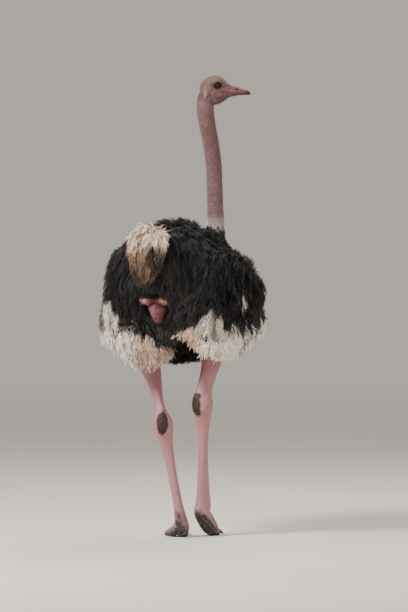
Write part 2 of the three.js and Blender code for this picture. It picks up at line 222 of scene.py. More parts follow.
@dataclass(frozen=True)
class Limb:
    """A rounded form strung on a smooth middle line.

    Rows hold the middle, half width, half height and how much wider the top is.
    """

    rows: Rows
    rings: Rings = Rings.SWEPT
    across: Triple = (1.0, 0.0, 0.0)
    square: float = 2.0
    samples: int = 120
    end: float = 0.6

    @property
    def last(self) -> int:
        """The place of the last cross-section."""
        return len(self.rows) - 1

    def stations(self, places: Array) -> Stations:
        """The cross-sections at fractional places."""
        table = np.array([tuple(row) + (0.0,) * (6 - len(row)) for row in self.rows])
        here = smooth(table, places)
        ahead = smooth(table[:, :3], np.minimum(places + 0.02, self.last))
        along = unit(ahead - smooth(table[:, :3], np.maximum(places - 0.02, 0.0)))
        across = np.broadcast_to(np.array(self.across), along.shape)
        if self.rings is Rings.SWEPT:
            across = unit(across - along * np.sum(across * along, axis=1, keepdims=True))
            up = np.cross(across, along)
        elif self.rings is Rings.STANDING:
            across = unit(np.cross(along, UP))
            up = np.cross(across, along)
        else:
            up = np.broadcast_to(UP, along.shape)
            along = np.cross(up, across) * np.sign(np.sum(np.cross(up, across) * along, 1))[:, None]
        size = np.maximum(here[:, 3:5], 0.5)
        return Stations(here[:, :3], across, up, along, size[:, 0], size[:, 1], here[:, 5])

    def distance(self, points: Array, inside: float = 0.0) -> Array:
        """Signed distance to the limb's surface, roughly, negative inside.

        Args:
            points: places in millimetres, N by 3.
            inside: how far the wanted surface lies inside the limb's own.

        Returns:
            One distance for each place.
        """
        return self.local(points, inside)[0]

    def local(self, points: Array, inside: float = 0.0) -> tuple[Array, Array, Array, Array]:
        """Signed distance, place along the limb, and the parts across and up from its middle."""
        places = np.linspace(0.0, self.last, self.samples)
        row = self.stations(places)
        out = [np.empty(len(points)) for _ in range(4)]
        for start in range(0, len(points), 60000):
            chunk = slice(start, start + 60000)
            p = points[chunk]
            if self.rings is Rings.FIXED:
                axis = row.along[len(places) // 2]
                spot = np.interp(p @ axis, row.at @ axis, np.arange(len(places)))
            else:
                gap = (row.at**2).sum(1)[None, :] - 2.0 * p @ row.at.T
                near = np.argmin(gap, axis=1)
                step = np.linalg.norm(np.gradient(row.at, axis=0), axis=1)[near]
                spot = near + np.sum((p - row.at[near]) * row.along[near], 1) / np.maximum(step, 1e-6)
                spot = np.clip(spot, np.maximum(near - 1, 0), np.minimum(near + 1, len(places) - 1))
            low = np.clip(np.floor(spot).astype(int), 0, len(places) - 2)
            part = spot - low

            def mix(values: Array) -> Array:
                """Values between two cross-sections."""
                share = part if values.ndim == 1 else part[:, None]
                return between(values[low], values[low + 1], share)

            offset = p - mix(row.at)
            a, b = np.sum(offset * mix(row.across), 1), np.sum(offset * mix(row.up), 1)
            over = np.sum(offset * mix(row.along), 1)
            over = np.where((spot <= 0) | (spot >= len(places) - 1), over, 0.0)
            high = np.maximum(mix(row.high) - inside, 1.0)
            wide = np.maximum(mix(row.wide) - inside, 1.0)
            wide = wide * (1.0 + mix(row.egg) * np.clip(b / high, -1.0, 1.0))
            tip = np.minimum(wide, high) * self.end
            share = (np.abs(a) / wide) ** self.square + (np.abs(b) / high) ** self.square
            share = (share ** (2.0 / self.square) + (over / tip) ** 2) ** 0.5
            reach = np.sqrt(a * a + b * b + over * over)
            out[0][chunk] = off_surface(share, reach, np.minimum(wide, high))
            out[1][chunk] = spot * self.last / (len(places) - 1)
            out[2][chunk], out[3][chunk] = a, b
        return out[0], out[1], out[2], out[3]

    def skin(self, places: Array, turns: Array, inside: float = 0.0) -> Array:
        """Points on the surface at fractional places and at turns in radians from across."""
        row = self.stations(places)
        c, s = np.cos(turns), np.sin(turns)
        power = 2.0 / self.square
        a = np.sign(c) * np.abs(c) ** power * np.maximum(row.wide - inside, 1.0) * (1 + row.egg * s)
        b = np.sign(s) * np.abs(s) ** power * np.maximum(row.high - inside, 1.0)
        return row.at + row.across * a[:, None] + row.up * b[:, None]


def join(a: Array, b: Array, blend: float) -> Array:
    """Union of two signed distances, filleted over about the blend's length."""
    share = np.clip(0.5 + 0.5 * (b - a) / blend, 0.0, 1.0)
    return between(b, a, share) - blend * share * (1 - share)


def cut(a: Array, b: Array, blend: float) -> Array:
    """The first signed distance with the second taken away, rounded over about the blend's length."""
    return -join(-a, b, blend)


def ball(points: Array, middle: Triple, radii: Triple) -> Array:
    """Signed distance, roughly, to an ellipsoid along the frame's axes."""
    offset = points - np.array(middle)
    share = np.linalg.norm(offset / np.array(radii), axis=1)
    return off_surface(share, np.linalg.norm(offset, axis=1), min(radii))


# ---------------------------------------------------------------- surfaces from distances


def steps(*spans: Triple) -> Array:
    """Grid lines from runs of (from, to, spacing), one after another."""
    lines = [np.arange(a, b, step) for a, b, step in spans]
    return np.unique(np.concatenate(lines + [np.array([spans[-1][1]])]).round(4))


def surface_of(shape: Measure, grid: tuple[Array, Array, Array]) -> tuple[Array, Array]:
    """Quads over the zero level of a signed distance, by surface nets.

    Only blocks of cells near the surface are worked out in full.

    Args:
        shape: gives the signed distance at N places.
        grid: grid lines along X, Y and Z, in millimetres; they reach past the shape.

    Returns:
        Points, and four point numbers for each face, facing outwards.
    """
    size = np.array([len(line) for line in grid])
    block = 4
    coarse = [line[block // 2 :: block] for line in grid]
    corners = np.stack(np.meshgrid(*coarse, indexing="ij"), -1).reshape(-1, 3)
    rough = shape(corners).reshape([len(line) for line in coarse])
    reach = 1.35 * block * math.sqrt(sum(float(np.max(np.diff(line))) ** 2 for line in grid))
    picks = [np.minimum(np.arange(n) // block, len(line) - 1) for n, line in zip(size, coarse)]
    rough = rough[np.ix_(*picks)]
    value = np.where(rough > 0, 50.0, -50.0)
    near = np.argwhere(np.abs(rough) < reach)
    places = np.stack([line[near[:, k]] for k, line in enumerate(grid)], -1)
    value[tuple(near.T)] = shape(places)
    for axis in range(3):
        border = [slice(None)] * 3
        border[axis] = [0, -1]
        value[tuple(border)] = np.maximum(value[tuple(border)], 2.0)
    inside = value < 0
    number = np.full(tuple(size - 1), -1, dtype=np.int64)
    total = np.zeros(tuple(size - 1) + (3,))
    count = np.zeros(tuple(size - 1))
    faces = []
    edges = []
    for axis in range(3):
        low = [slice(None)] * 3
        high = [slice(None)] * 3
        low[axis], high[axis] = slice(None, -1), slice(1, None)
        crossed = np.argwhere(inside[tuple(low)] != inside[tuple(high)])
        after = crossed.copy()
        after[:, axis] += 1
        v0, v1 = value[tuple(crossed.T)], value[tuple(after.T)]
        share = (v0 / (v0 - v1))[:, None]
        p0 = np.stack([line[crossed[:, k]] for k, line in enumerate(grid)], -1)
        p1 = np.stack([line[after[:, k]] for k, line in enumerate(grid)], -1)
        spot = p0 + (p1 - p0) * share
        u, w = (axis + 1) % 3, (axis + 2) % 3
        ring = []
        for du, dw in ((-1, -1), (0, -1), (0, 0), (-1, 0)):
            cell = crossed.copy()
            cell[:, u] += du
            cell[:, w] += dw
            ring.append(cell)
            np.add.at(total, tuple(cell.T), spot)
            np.add.at(count, tuple(cell.T), 1)
        edges.append((ring, v0 < 0))
    used = np.argwhere(count > 0)
    number[tuple(used.T)] = np.arange(len(used))
    points = total[tuple(used.T)] / count[tuple(used.T)][:, None]
    for ring, outward in edges:
        quad = np.stack([number[tuple(cell.T)] for cell in ring], -1)
        faces.append(np.where(outward[:, None], quad, quad[:, ::-1]))
    return settle(shape, points), np.concatenate(faces)


def slope(shape: Measure, points: Array, step: float = 0.35) -> tuple[Array, Array]:
    """A signed distance at places, and its gradient there."""
    here = shape(points)
    moved = [shape(points + step * np.eye(3)[k]) for k in range(3)]
    return here, np.stack([(value - here) / step for value in moved], -1)


def settle(shape: Measure, points: Array) -> Array:
    """Points moved onto the zero level of a signed distance."""
    for _ in range(2):
        here, rise = slope(shape, points)
        scale = here / np.maximum((rise**2).sum(1), 0.25)
        points = points - rise * np.clip(scale, -3.0, 3.0)[:, None]
    return points


# ---------------------------------------------------------------- meshes


class Place:
    """Where the bird's own frame lies in the part's frame."""

    shift: Array = np.zeros(3)

    @classmethod
    def read(cls) -> None:
        """Finds the shift from the middle of the two eyes."""
        corners = [Vector(c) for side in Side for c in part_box(f"eye_{side.word}")]
        middle = sum(corners, Vector()) / len(corners)
        cls.shift = np.array(middle) - np.array(EYES_MIDDLE) * MM


def new_object(name: str, data: bpy.types.ID) -> Thing:
    """A new object, linked to the scene."""
    thing = bpy.data.objects.new(name, data)
    bpy.context.scene.collection.objects.link(thing)
    return thing


def mesh_object(name: str, points: Array, faces: Array) -> Thing:
    """A mesh object in the part's frame, shaded smooth.

    Args:
        name: the object's name.
        points: places in millimetres in the bird's frame.
        faces: point numbers, three or four for each face.

    Returns:
        The new object, linked to the scene.
    """
    mesh = bpy.data.meshes.new(name)
    count, sides = faces.shape
    mesh.vertices.add(len(points))
    mesh.vertices.foreach_set("co", (points * MM + Place.shift).astype(np.float32).ravel())
    mesh.loops.add(count * sides)
    mesh.loops.foreach_set("vertex_index", faces.astype(np.int32).ravel())
    mesh.polygons.add(count)
    mesh.polygons.foreach_set("loop_start", np.arange(0, count * sides, sides, dtype=np.int32))
    mesh.polygons.foreach_set("use_smooth", np.full(count, True))
    mesh.update(calc_edges=True)
    mesh.validate()
    return new_object(name, mesh)


def read_vectors(items: bpy.types.bpy_prop_collection, key: str) -> Array:
    """The vectors that a mesh holds under a key, N by 3."""
    flat = np.empty(len(items) * 3, dtype=np.float32)
    items.foreach_get(key, flat)
    return flat.reshape(-1, 3).astype(float)


def points_of(thing: Thing) -> Array:
    """A mesh object's points in millimetres in the bird's frame."""
    return (read_vectors(thing.data.vertices, "co") - Place.shift) / MM


def normals_of(thing: Thing) -> Array:
    """A mesh object's point normals."""
    return read_vectors(thing.data.vertices, "normal")


def move_points(thing: Thing, points: Array) -> None:
    """Gives a mesh object new places for its points, in millimetres in the bird's frame."""
    thing.data.vertices.foreach_set("co", (points * MM + Place.shift).astype(np.float32).ravel())
    thing.data.update()


def store(thing: Thing, name: str, values: Array) -> None:
    """Stores a number, or a colour of three parts, on each point of a mesh object."""
    if values.ndim == 1:
        layer = thing.data.attributes.new(name, "FLOAT", "POINT")
        layer.data.foreach_set("value", values.astype(np.float32))
        return
    layer = thing.data.attributes.new(name, "FLOAT_COLOR", "POINT")
    full = np.concatenate([values, np.ones((len(values), 1))], 1)
    layer.data.foreach_set("color", full.astype(np.float32).ravel())


def make_plain(thing: Thing, modifier: bpy.types.Modifier) -> None:
    """Turns a modifier's result into the object's plain mesh and takes the modifier off."""
    bpy.context.view_layer.update()
    result = bpy.data.meshes.new_from_object(thing.evaluated_get(bpy.context.evaluated_depsgraph_get()))
    thing.modifiers.remove(modifier)
    thing.data = result


def weld(target: Thing, *others: Thing) -> None:
    """Joins closed meshes into the first one, with nothing left inside it."""
    for other in others:
        union = target.modifiers.new("weld", "BOOLEAN")
        union.operation, union.solver, union.object = "UNION", "MANIFOLD", other
        make_plain(target, union)
        target.data.validate()
        bpy.data.objects.remove(other)


# ---------------------------------------------------------------- materials


class Tree:
    """Short ways to build a node tree."""

    def __init__(self, tree: bpy.types.NodeTree) -> None:
        """Takes the tree to build."""
        self.tree = tree

    def add(self, kind: str, **settings: object) -> bpy.types.Node:
        """A new node with its properties set."""
        node = self.tree.nodes.new(kind)
        for key, value in settings.items():
            setattr(node, key, value)
        return node

    def link(self, source: Socket, target: Socket) -> None:
        """Joins two sockets."""
        self.tree.links.new(source, target)

    def feed(self, target: Socket, value: Socket | float | Row) -> None:
        """Gives a socket its value: another socket, a number or a row of numbers."""
        if isinstance(value, Socket):
            self.link(value, target)
        else:
            target.default_value = value

    def math(self, operation: str, a: Socket, b: Socket | float) -> Socket:
        """One arithmetic step."""
        node = self.add("ShaderNodeMath", operation=operation)
        self.link(a, node.inputs[0])
        self.feed(node.inputs[1], b)
        return node.outputs[0]


class Nodes(Tree):
    """Short ways to build a material."""

    def __init__(self, name: str) -> None:
        """Starts a material with a shader and Object coordinates."""
        self.material = bpy.data.materials.new(name)
        self.material.use_nodes = True
        super().__init__(self.material.node_tree)
        self.shader = self.tree.nodes["Principled BSDF"]
        self.place = self.add("ShaderNodeTexCoord").outputs["Object"]

    def stored(self, name: str, output: str = "Color") -> Socket:
        """A value stored on the mesh."""
        return self.add("ShaderNodeAttribute", attribute_name=name).outputs[output]

    def noise(self, scale: float, detail: float = 3.0, stretch: Triple = (1, 1, 1)) -> Socket:
        """Noise from 0 to 1 in Object coordinates."""
        mapping = self.add("ShaderNodeMapping")
        mapping.inputs["Scale"].default_value = stretch
        self.link(self.place, mapping.inputs["Vector"])
        noise = self.add("ShaderNodeTexNoise")
        noise.inputs["Scale"].default_value = scale
        noise.inputs["Detail"].default_value = detail
        self.link(mapping.outputs["Vector"], noise.inputs["Vector"])
        return noise.outputs["Fac"]

    def cells(self, scale: float) -> Socket:
        """Distance to the nearest cell edge in Object coordinates."""
        cells = self.add("ShaderNodeTexVoronoi", feature="DISTANCE_TO_EDGE")
        cells.inputs["Scale"].default_value = scale
        self.link(self.place, cells.inputs["Vector"])
        return cells.outputs["Distance"]

    def span(
        self, value: Socket, low: float, high: float, to_low: float = 0.0, to_high: float = 1.0
    ) -> Socket:
        """A value mapped from one range to another and kept inside it."""
        node = self.add("ShaderNodeMapRange")
        for key, number in zip(("From Min", "From Max", "To Min", "To Max"), (low, high, to_low, to_high)):
            node.inputs[key].default_value = number
        self.link(value, node.inputs["Value"])
        return node.outputs["Result"]

    def blend(self, share: Socket, a: Socket | Triple, b: Socket | Triple, mode: str = "MIX") -> Socket:
        """Colour a turned towards colour b; each is a socket or three numbers."""
        node = self.add("ShaderNodeMix", data_type="RGBA", blend_type=mode)
        self.link(share, node.inputs["Factor"])
        for key, colour in ((6, a), (7, b)):
            self.feed(node.inputs[key], (*colour, 1.0) if isinstance(colour, tuple) else colour)
        return node.outputs[2]

    def fleck(self, base: Socket, pattern: Socket, colour: Triple, amount: float) -> Socket:
        """A base colour with some of another multiplied in where the pattern is strong."""
        share = self.math("MULTIPLY", pattern, amount)
        return self.blend(share, base, self.blend(pattern, base, colour, "MULTIPLY"))

    def shine(self, values: dict[str, float | Triple]) -> None:
        """Sets numbers that hold all over the surface, on the shader's own sockets."""
        for key, value in values.items():
            self.shader.inputs[key].default_value = value

    def finish(self, colour: Socket, roughness: Socket | float) -> Material:
        """Joins colour and roughness to the shader and hands over the material."""
        self.link(colour, self.shader.inputs["Base Color"])
        self.feed(self.shader.inputs["Roughness"], roughness)
        return self.material

    def relief(self, height: Socket, depth: float, strength: float) -> None:
        """Raises the surface in shading by a height from 0 to 1, with a depth in metres."""
        bump = self.add("ShaderNodeBump")
        bump.inputs["Distance"].default_value = depth
        bump.inputs["Strength"].default_value = strength
        self.link(height, bump.inputs["Height"])
        self.link(bump.outputs["Normal"], self.shader.inputs["Normal"])


@dataclass(frozen=True)
class SkinFinish:
    """Bare skin: a stored colour, mottled and finely wrinkled; matte where it is painted near-black as shade
    under the coat.
    """

    name: str = "bare_skin"
    mottle: Triple = (0.60, 0.50, 0.50)
    roughness: float = 0.58

    def material(self) -> Material:
        """Builds the material."""
        nodes = Nodes(self.name)
        base = nodes.stored("hue")
        patch = nodes.span(nodes.noise(95.0, 5.0), 0.35, 0.7)
        fine = nodes.span(nodes.noise(420.0, 2.0), 0.3, 0.75)
        colour = nodes.fleck(nodes.fleck(base, patch, self.mottle, 0.34), fine, self.mottle, 0.2)
        pores = nodes.span(nodes.cells(700.0), 0.0, 0.28)
        lines = nodes.math("MULTIPLY", fine, 0.55)
        nodes.relief(nodes.math("ADD", nodes.math("MULTIPLY", pores, 0.45), lines), 0.0006, 0.55)
        rough = nodes.span(fine, 0.0, 1.0, self.roughness - 0.08, self.roughness + 0.1)
        rough = nodes.math("MAXIMUM", rough, nodes.span(base, 0.016, 0.012, 0.0, 0.95))
        nodes.shine({"Subsurface Weight": 0.12, "Subsurface Radius": (0.008, 0.003, 0.002)})
        nodes.shine({"Subsurface Scale": 0.5, "Specular IOR Level": 0.38})
        return nodes.finish(colour, rough)


@dataclass(frozen=True)
class HornFinish:
    """Bill or claw horn: a stored colour with fine growth lines."""

    name: str
    roughness: float = 0.42

    def material(self) -> Material:
        """Builds the material."""
        nodes = Nodes(self.name)
        grain = nodes.span(nodes.noise(260.0, 4.0, (1.0, 1.0, 2.6)), 0.3, 0.75)
        nodes.relief(grain, 0.0003, 0.5)
        rough = nodes.span(grain, 0.0, 1.0, self.roughness - 0.1, self.roughness + 0.14)
        return nodes.finish(nodes.fleck(nodes.stored("hue"), grain, (0.62, 0.54, 0.5), 0.4), rough)


@dataclass(frozen=True)
class EyeFinish:
    """A wet dark eye: brown iris round a black pupil."""

    name: str = "eye"

    def material(self) -> Material:
        """Builds the material."""
        nodes = Nodes(self.name)
        fleck = nodes.span(nodes.noise(900.0, 3.0), 0.3, 0.7)
        nodes.shine({"Coat Weight": 0.3, "Coat Roughness": 0.04, "Specular IOR Level": 0.2})
        return nodes.finish(nodes.fleck(nodes.stored("hue"), fleck, (0.45, 0.35, 0.3), 0.5), 0.12)


@dataclass(frozen=True)
class FeatherFinish:
    """Loose feather barbs: a stored colour, softer and lighter towards the tips."""

    name: str
    tip: Triple
    tip_share: float
    sheen: float
    roughness: float = 0.8

    def material(self) -> Material:
        """Builds the material."""
        nodes = Nodes(self.name)
        along = nodes.span(nodes.stored("along", "Fac"), 0.35, 1.0)
        patch = nodes.span(nodes.noise(26.0, 3.0), 0.42, 0.68)
        share = nodes.math("MULTIPLY", along, nodes.math("MULTIPLY", patch, self.tip_share))
        nodes.shine({"Sheen Weight": self.sheen, "Sheen Roughness": 0.45, "Specular IOR Level": 0.25})
        return nodes.finish(nodes.blend(share, nodes.stored("hue"), self.tip), self.roughness)


def dress(thing: Thing, material: Material, slot: str, *nodes: str) -> None:
    """Gives a piece its finish, hides the solids that it stands for, and lets it ride."""
    thing.data.materials.clear()
    thing.data.materials.append(material)
    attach(thing, "root")
    if nodes:
        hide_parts(*nodes)
    log.info("%s: %d faces", thing.name, len(thing.data.polygons))


# ---------------------------------------------------------------- the bird's forms

TRUNK = Limb(
    rows=(
        (0, -499, 1128, 3, 3),
        (0, -496, 1128, 34, 36),
        (0, -482, 1126, 92, 92),
        (0, -430, 1122, 158, 160),
        (0, -330, 1118, 210, 220, -0.12),
        (0, -170, 1117, 252, 287, -0.14),
        (0, 0, 1117, 286, 327, -0.06),
        (0, 150, 1130, 278, 314),
        (0, 265, 1160, 232, 260),
        (0, 345, 1200, 168, 190),
        (0, 398, 1240, 98, 110),
        (0, 418, 1256, 30, 34),
    ),
    rings=Rings.FIXED,
)
NECK = Limb(
    rows=(
        (0, -300, 1180, 84, 92),
        (0, -372, 1280, 62, 68),
        (0, -404, 1372, 45, 48),
        (0, -412, 1452, 39, 40),
        (2, -409, 1560, 37.5, 38.5),
        (4, -399, 1690, 37, 38),
        (7, -366, 1800, 38, 39),
        (10, -332, 1880, 39, 39.5),
        (10, -312, 1940, 40.5, 40),
        (6, -312, 1995, 39, 38),
        (-8, -320, 2040, 28, 28),
    ),
)


def wing_limb(side: Side) -> Limb:
    """The folded wing, thinner at its top."""
    rows = (
        (196, -350, 1140, 18, 28),
        (224, -312, 1135, 46, 66),
        (254, -215, 1125, 66, 123),
        (276, -60, 1115, 74, 168),
        (268, 80, 1103, 70, 199),
        (242, 195, 1087, 62, 190),
        (212, 276, 1076, 48, 134),
        (186, 316, 1074, 18, 44),
    )
    return Limb(tuple((side.value * x, y, z, w, h, -0.28) for x, y, z, w, h in rows), Rings.FIXED)


def head_row(ahead: float, top: float, bottom: float, wide: float, egg: float) -> Row:
    """A row of the head: how far ahead of the eyes, its top and bottom from their height, half width."""
    at = np.array(EYES_MIDDLE) + AHEAD * ahead + UP * (top + bottom) / 2
    return (*at, wide, (top - bottom) / 2, egg)


HEAD = Limb(
    rows=tuple(
        head_row(*row)
        for row in (
            (-73, 8, -24, 12, 0),
            (-66, 20, -42, 25, 0.05),
            (-50, 34, -62, 33, 0.1),
            (-28, 42, -78, 37.5, 0.18),
            (-8, 45.5, -88, 39.5, 0.24),
            (12, 42, -84, 38.5, 0.26),
            (30, 31.5, -73, 34.5, 0.2),
            (45, 21, -63, 31.5, 0.1),
            (66, 4.5, -53, 28, 0.02),
            (90, -6.5, -47.5, 22.5, 0),
            (116, -17, -44.5, 17.5, 0),
            (136, -24.5, -44, 13, 0),
            (148, -31.5, -42, 8, 0),
            (151.5, -34.5, -40, 3, 0),
        )
    ),
    rings=Rings.FIXED,
    across=tuple(HEAD_LEFT),
    samples=160,
)


@dataclass(frozen=True)
class LegJoints:
    """Where a leg bends, and how each toe lies from the toe joint.

    Toe rows hold ahead, out, height, half width and half height.
    """

    knee: Triple
    ankle: Triple
    toe_joint: Triple
    main_toe: Rows
    outer_toe: Rows
    claw: Rows


JOINTS = {
    Side.LEFT: LegJoints(
        knee=(208, -70, 946),
        ankle=(35, 150, 526),
        toe_joint=(-19, 54, 66),
        main_toe=(
            (-26, -4, 62, 20, 20),
            (-8, -4, 50, 30, 38),
            (28, -4, 32, 30, 36),
            (72, -4, 24, 29, 28),
            (112, -4, 19, 28, 23),
            (146, -4, 15, 25, 18),
            (168, -4, 12, 16, 13),
            (175, -4, 11, 8, 6),
        ),
        outer_toe=(
            (-8, 22, 52, 15, 20),
            (22, 36, 25, 19, 26),
            (52, 50, 17, 18, 20),
            (82, 62, 12, 17, 15),
            (98, 68, 10, 12, 11),
            (104, 70, 9, 5, 5),
        ),
        claw=(
            (140, -4, 26, 10, 9),
            (168, -4, 24, 11, 9),
            (190, -4, 16, 8, 7),
            (204, -4, 9, 4, 4),
            (210, -4, 5, 1.5, 1.5),
        ),
    ),
    Side.RIGHT: LegJoints(
        knee=(-178, -178, 1050),
        ankle=(-130, 68, 610),
        toe_joint=(-97, -17, 128),
        main_toe=(
            (-30, -2, 134, 20, 20),
            (-12, -3, 112, 30, 34),
            (8, -4, 80, 30, 33),
            (28, -5, 50, 28, 29),
            (54, -6, 28, 28, 26),
            (80, -7, 17, 26, 20),
            (102, -8, 12, 19, 15),
            (111, -8, 11, 8, 6),
        ),
        outer_toe=(
            (-12, 16, 118, 15, 20),
            (6, 26, 92, 18, 22),
            (20, 35, 66, 17, 19),
            (32, 42, 44, 16, 15),
            (40, 46, 32, 11, 11),
            (43, 47, 28, 5, 5),
        ),
        claw=(
            (80, -7, 26, 10, 9),
            (108, -8, 21, 11, 9),
            (126, -8, 14, 8, 7),
            (138, -8, 8, 4, 4),
            (144, -8, 5, 1.5, 1.5),
        ),
    ),
}
SHANK_ROWS = (
    # share of the way down from the knee, flesh behind, flesh outside, half width, half depth
    (-0.16, 30, -22, 62, 84),
    (0.0, 44, -4, 80, 108),
    (0.2, 54, 2, 68, 96),
    (0.38, 48, 8, 52, 76),
    (0.52, 36, 4, 38, 60),
    (0.66, 26, 0, 27, 49),
    (0.8, 22, 0, 22, 46),
    (0.9, 16, 0, 29, 49),
    (1.0, 5, 0, 42, 48),
    (1.06, 0, 0, 34, 36),
)
TARSUS_ROWS = (
    # share of the way down from the ankle, flesh behind, flesh outside, half width, half depth
    (-0.06, 4, 0, 30, 36),
    (0.0, 3, 0, 42, 46),
    (0.08, 2, 0, 42, 42),
    (0.17, 1, 0, 33, 31),
    (0.28, 0, 0, 26, 24),
    (0.45, 0, 0, 21.5, 22),
    (0.64, 0, 0, 20.5, 28),
    (0.82, 0, 0, 22, 36),
    (0.93, 0, 0, 26, 41),
    (1.0, 0, 0, 29, 40),
    (1.06, 0, 0, 20, 26),
)


@dataclass(frozen=True)
class Leg:
    """One leg's forms: thigh and shank, tarsus, toes and claw."""

    side: Side
    pad_wide: float = 27.0  # half width of the heel's pad
    pad_high: float = 58.0

    @property
    def ahead(self) -> Array:
        """The way the leg's plane faces."""
        return heading(self.side.value * TURN_OUT)

    @property
    def out(self) -> Array:
        """Level, square to the leg's plane, away from the other leg."""
        return np.cross(UP, self.ahead) * self.side.value

    def bone(self, top: Row, foot: Row, rows: Rows) -> Limb:
        """A limb along a straight bone, with its flesh set off behind and outside."""
        made = []
        for share, behind, outside, wide, deep in rows:
            at = np.array(top) + share * (np.array(foot) - np.array(top))
            made.append((*(at - self.ahead * behind + self.out * outside), wide, deep))
        return Limb(tuple(made), Rings.SWEPT, tuple(self.out))

    @property
    def shank(self) -> Limb:
        """Thigh and shank down to the ankle."""
        joints = JOINTS[self.side]
        return self.bone(joints.knee, joints.ankle, SHANK_ROWS)

    @property
    def tarsus(self) -> Limb:
        """From the ankle down to the toe joint."""
        joints = JOINTS[self.side]
        return self.bone(joints.ankle, joints.toe_joint, TARSUS_ROWS)

    def toe(self, rows: Rows) -> Limb:
        """A toe or claw from rows in the leg's own directions."""
        joint = np.array(JOINTS[self.side].toe_joint) * (1, 1, 0)
        made = []
        for ahead, out, height, wide, high in rows:
            at = joint + self.ahead * ahead + self.out * out + UP * height
            made.append((*at, wide, high))
        return Limb(tuple(made), Rings.SWEPT, tuple(self.out), samples=60)

    def heel(self, points: Array) -> tuple[Array, Array, Array]:
        """How far behind and above the ankle, and a share that is 1 at the edge of the heel's pad."""
        offset = points - np.array(JOINTS[self.side].ankle)
        up = offset[:, 2]
        pad = np.sqrt((offset @ self.out / self.pad_wide) ** 2 + (up / self.pad_high) ** 2)
        return -(offset @ self.ahead), up, pad

    def front(self, points: Array, place: Array) -> Array:
        """How much each point lies on the front of the tarsus, from -1 to 1."""
        tarsus = self.tarsus
        middle = tarsus.stations(np.clip(place, 0, tarsus.last)).at
        return unit((points - middle) * (1, 1, 0)) @ self.ahead


# ---------------------------------------------------------------- skin


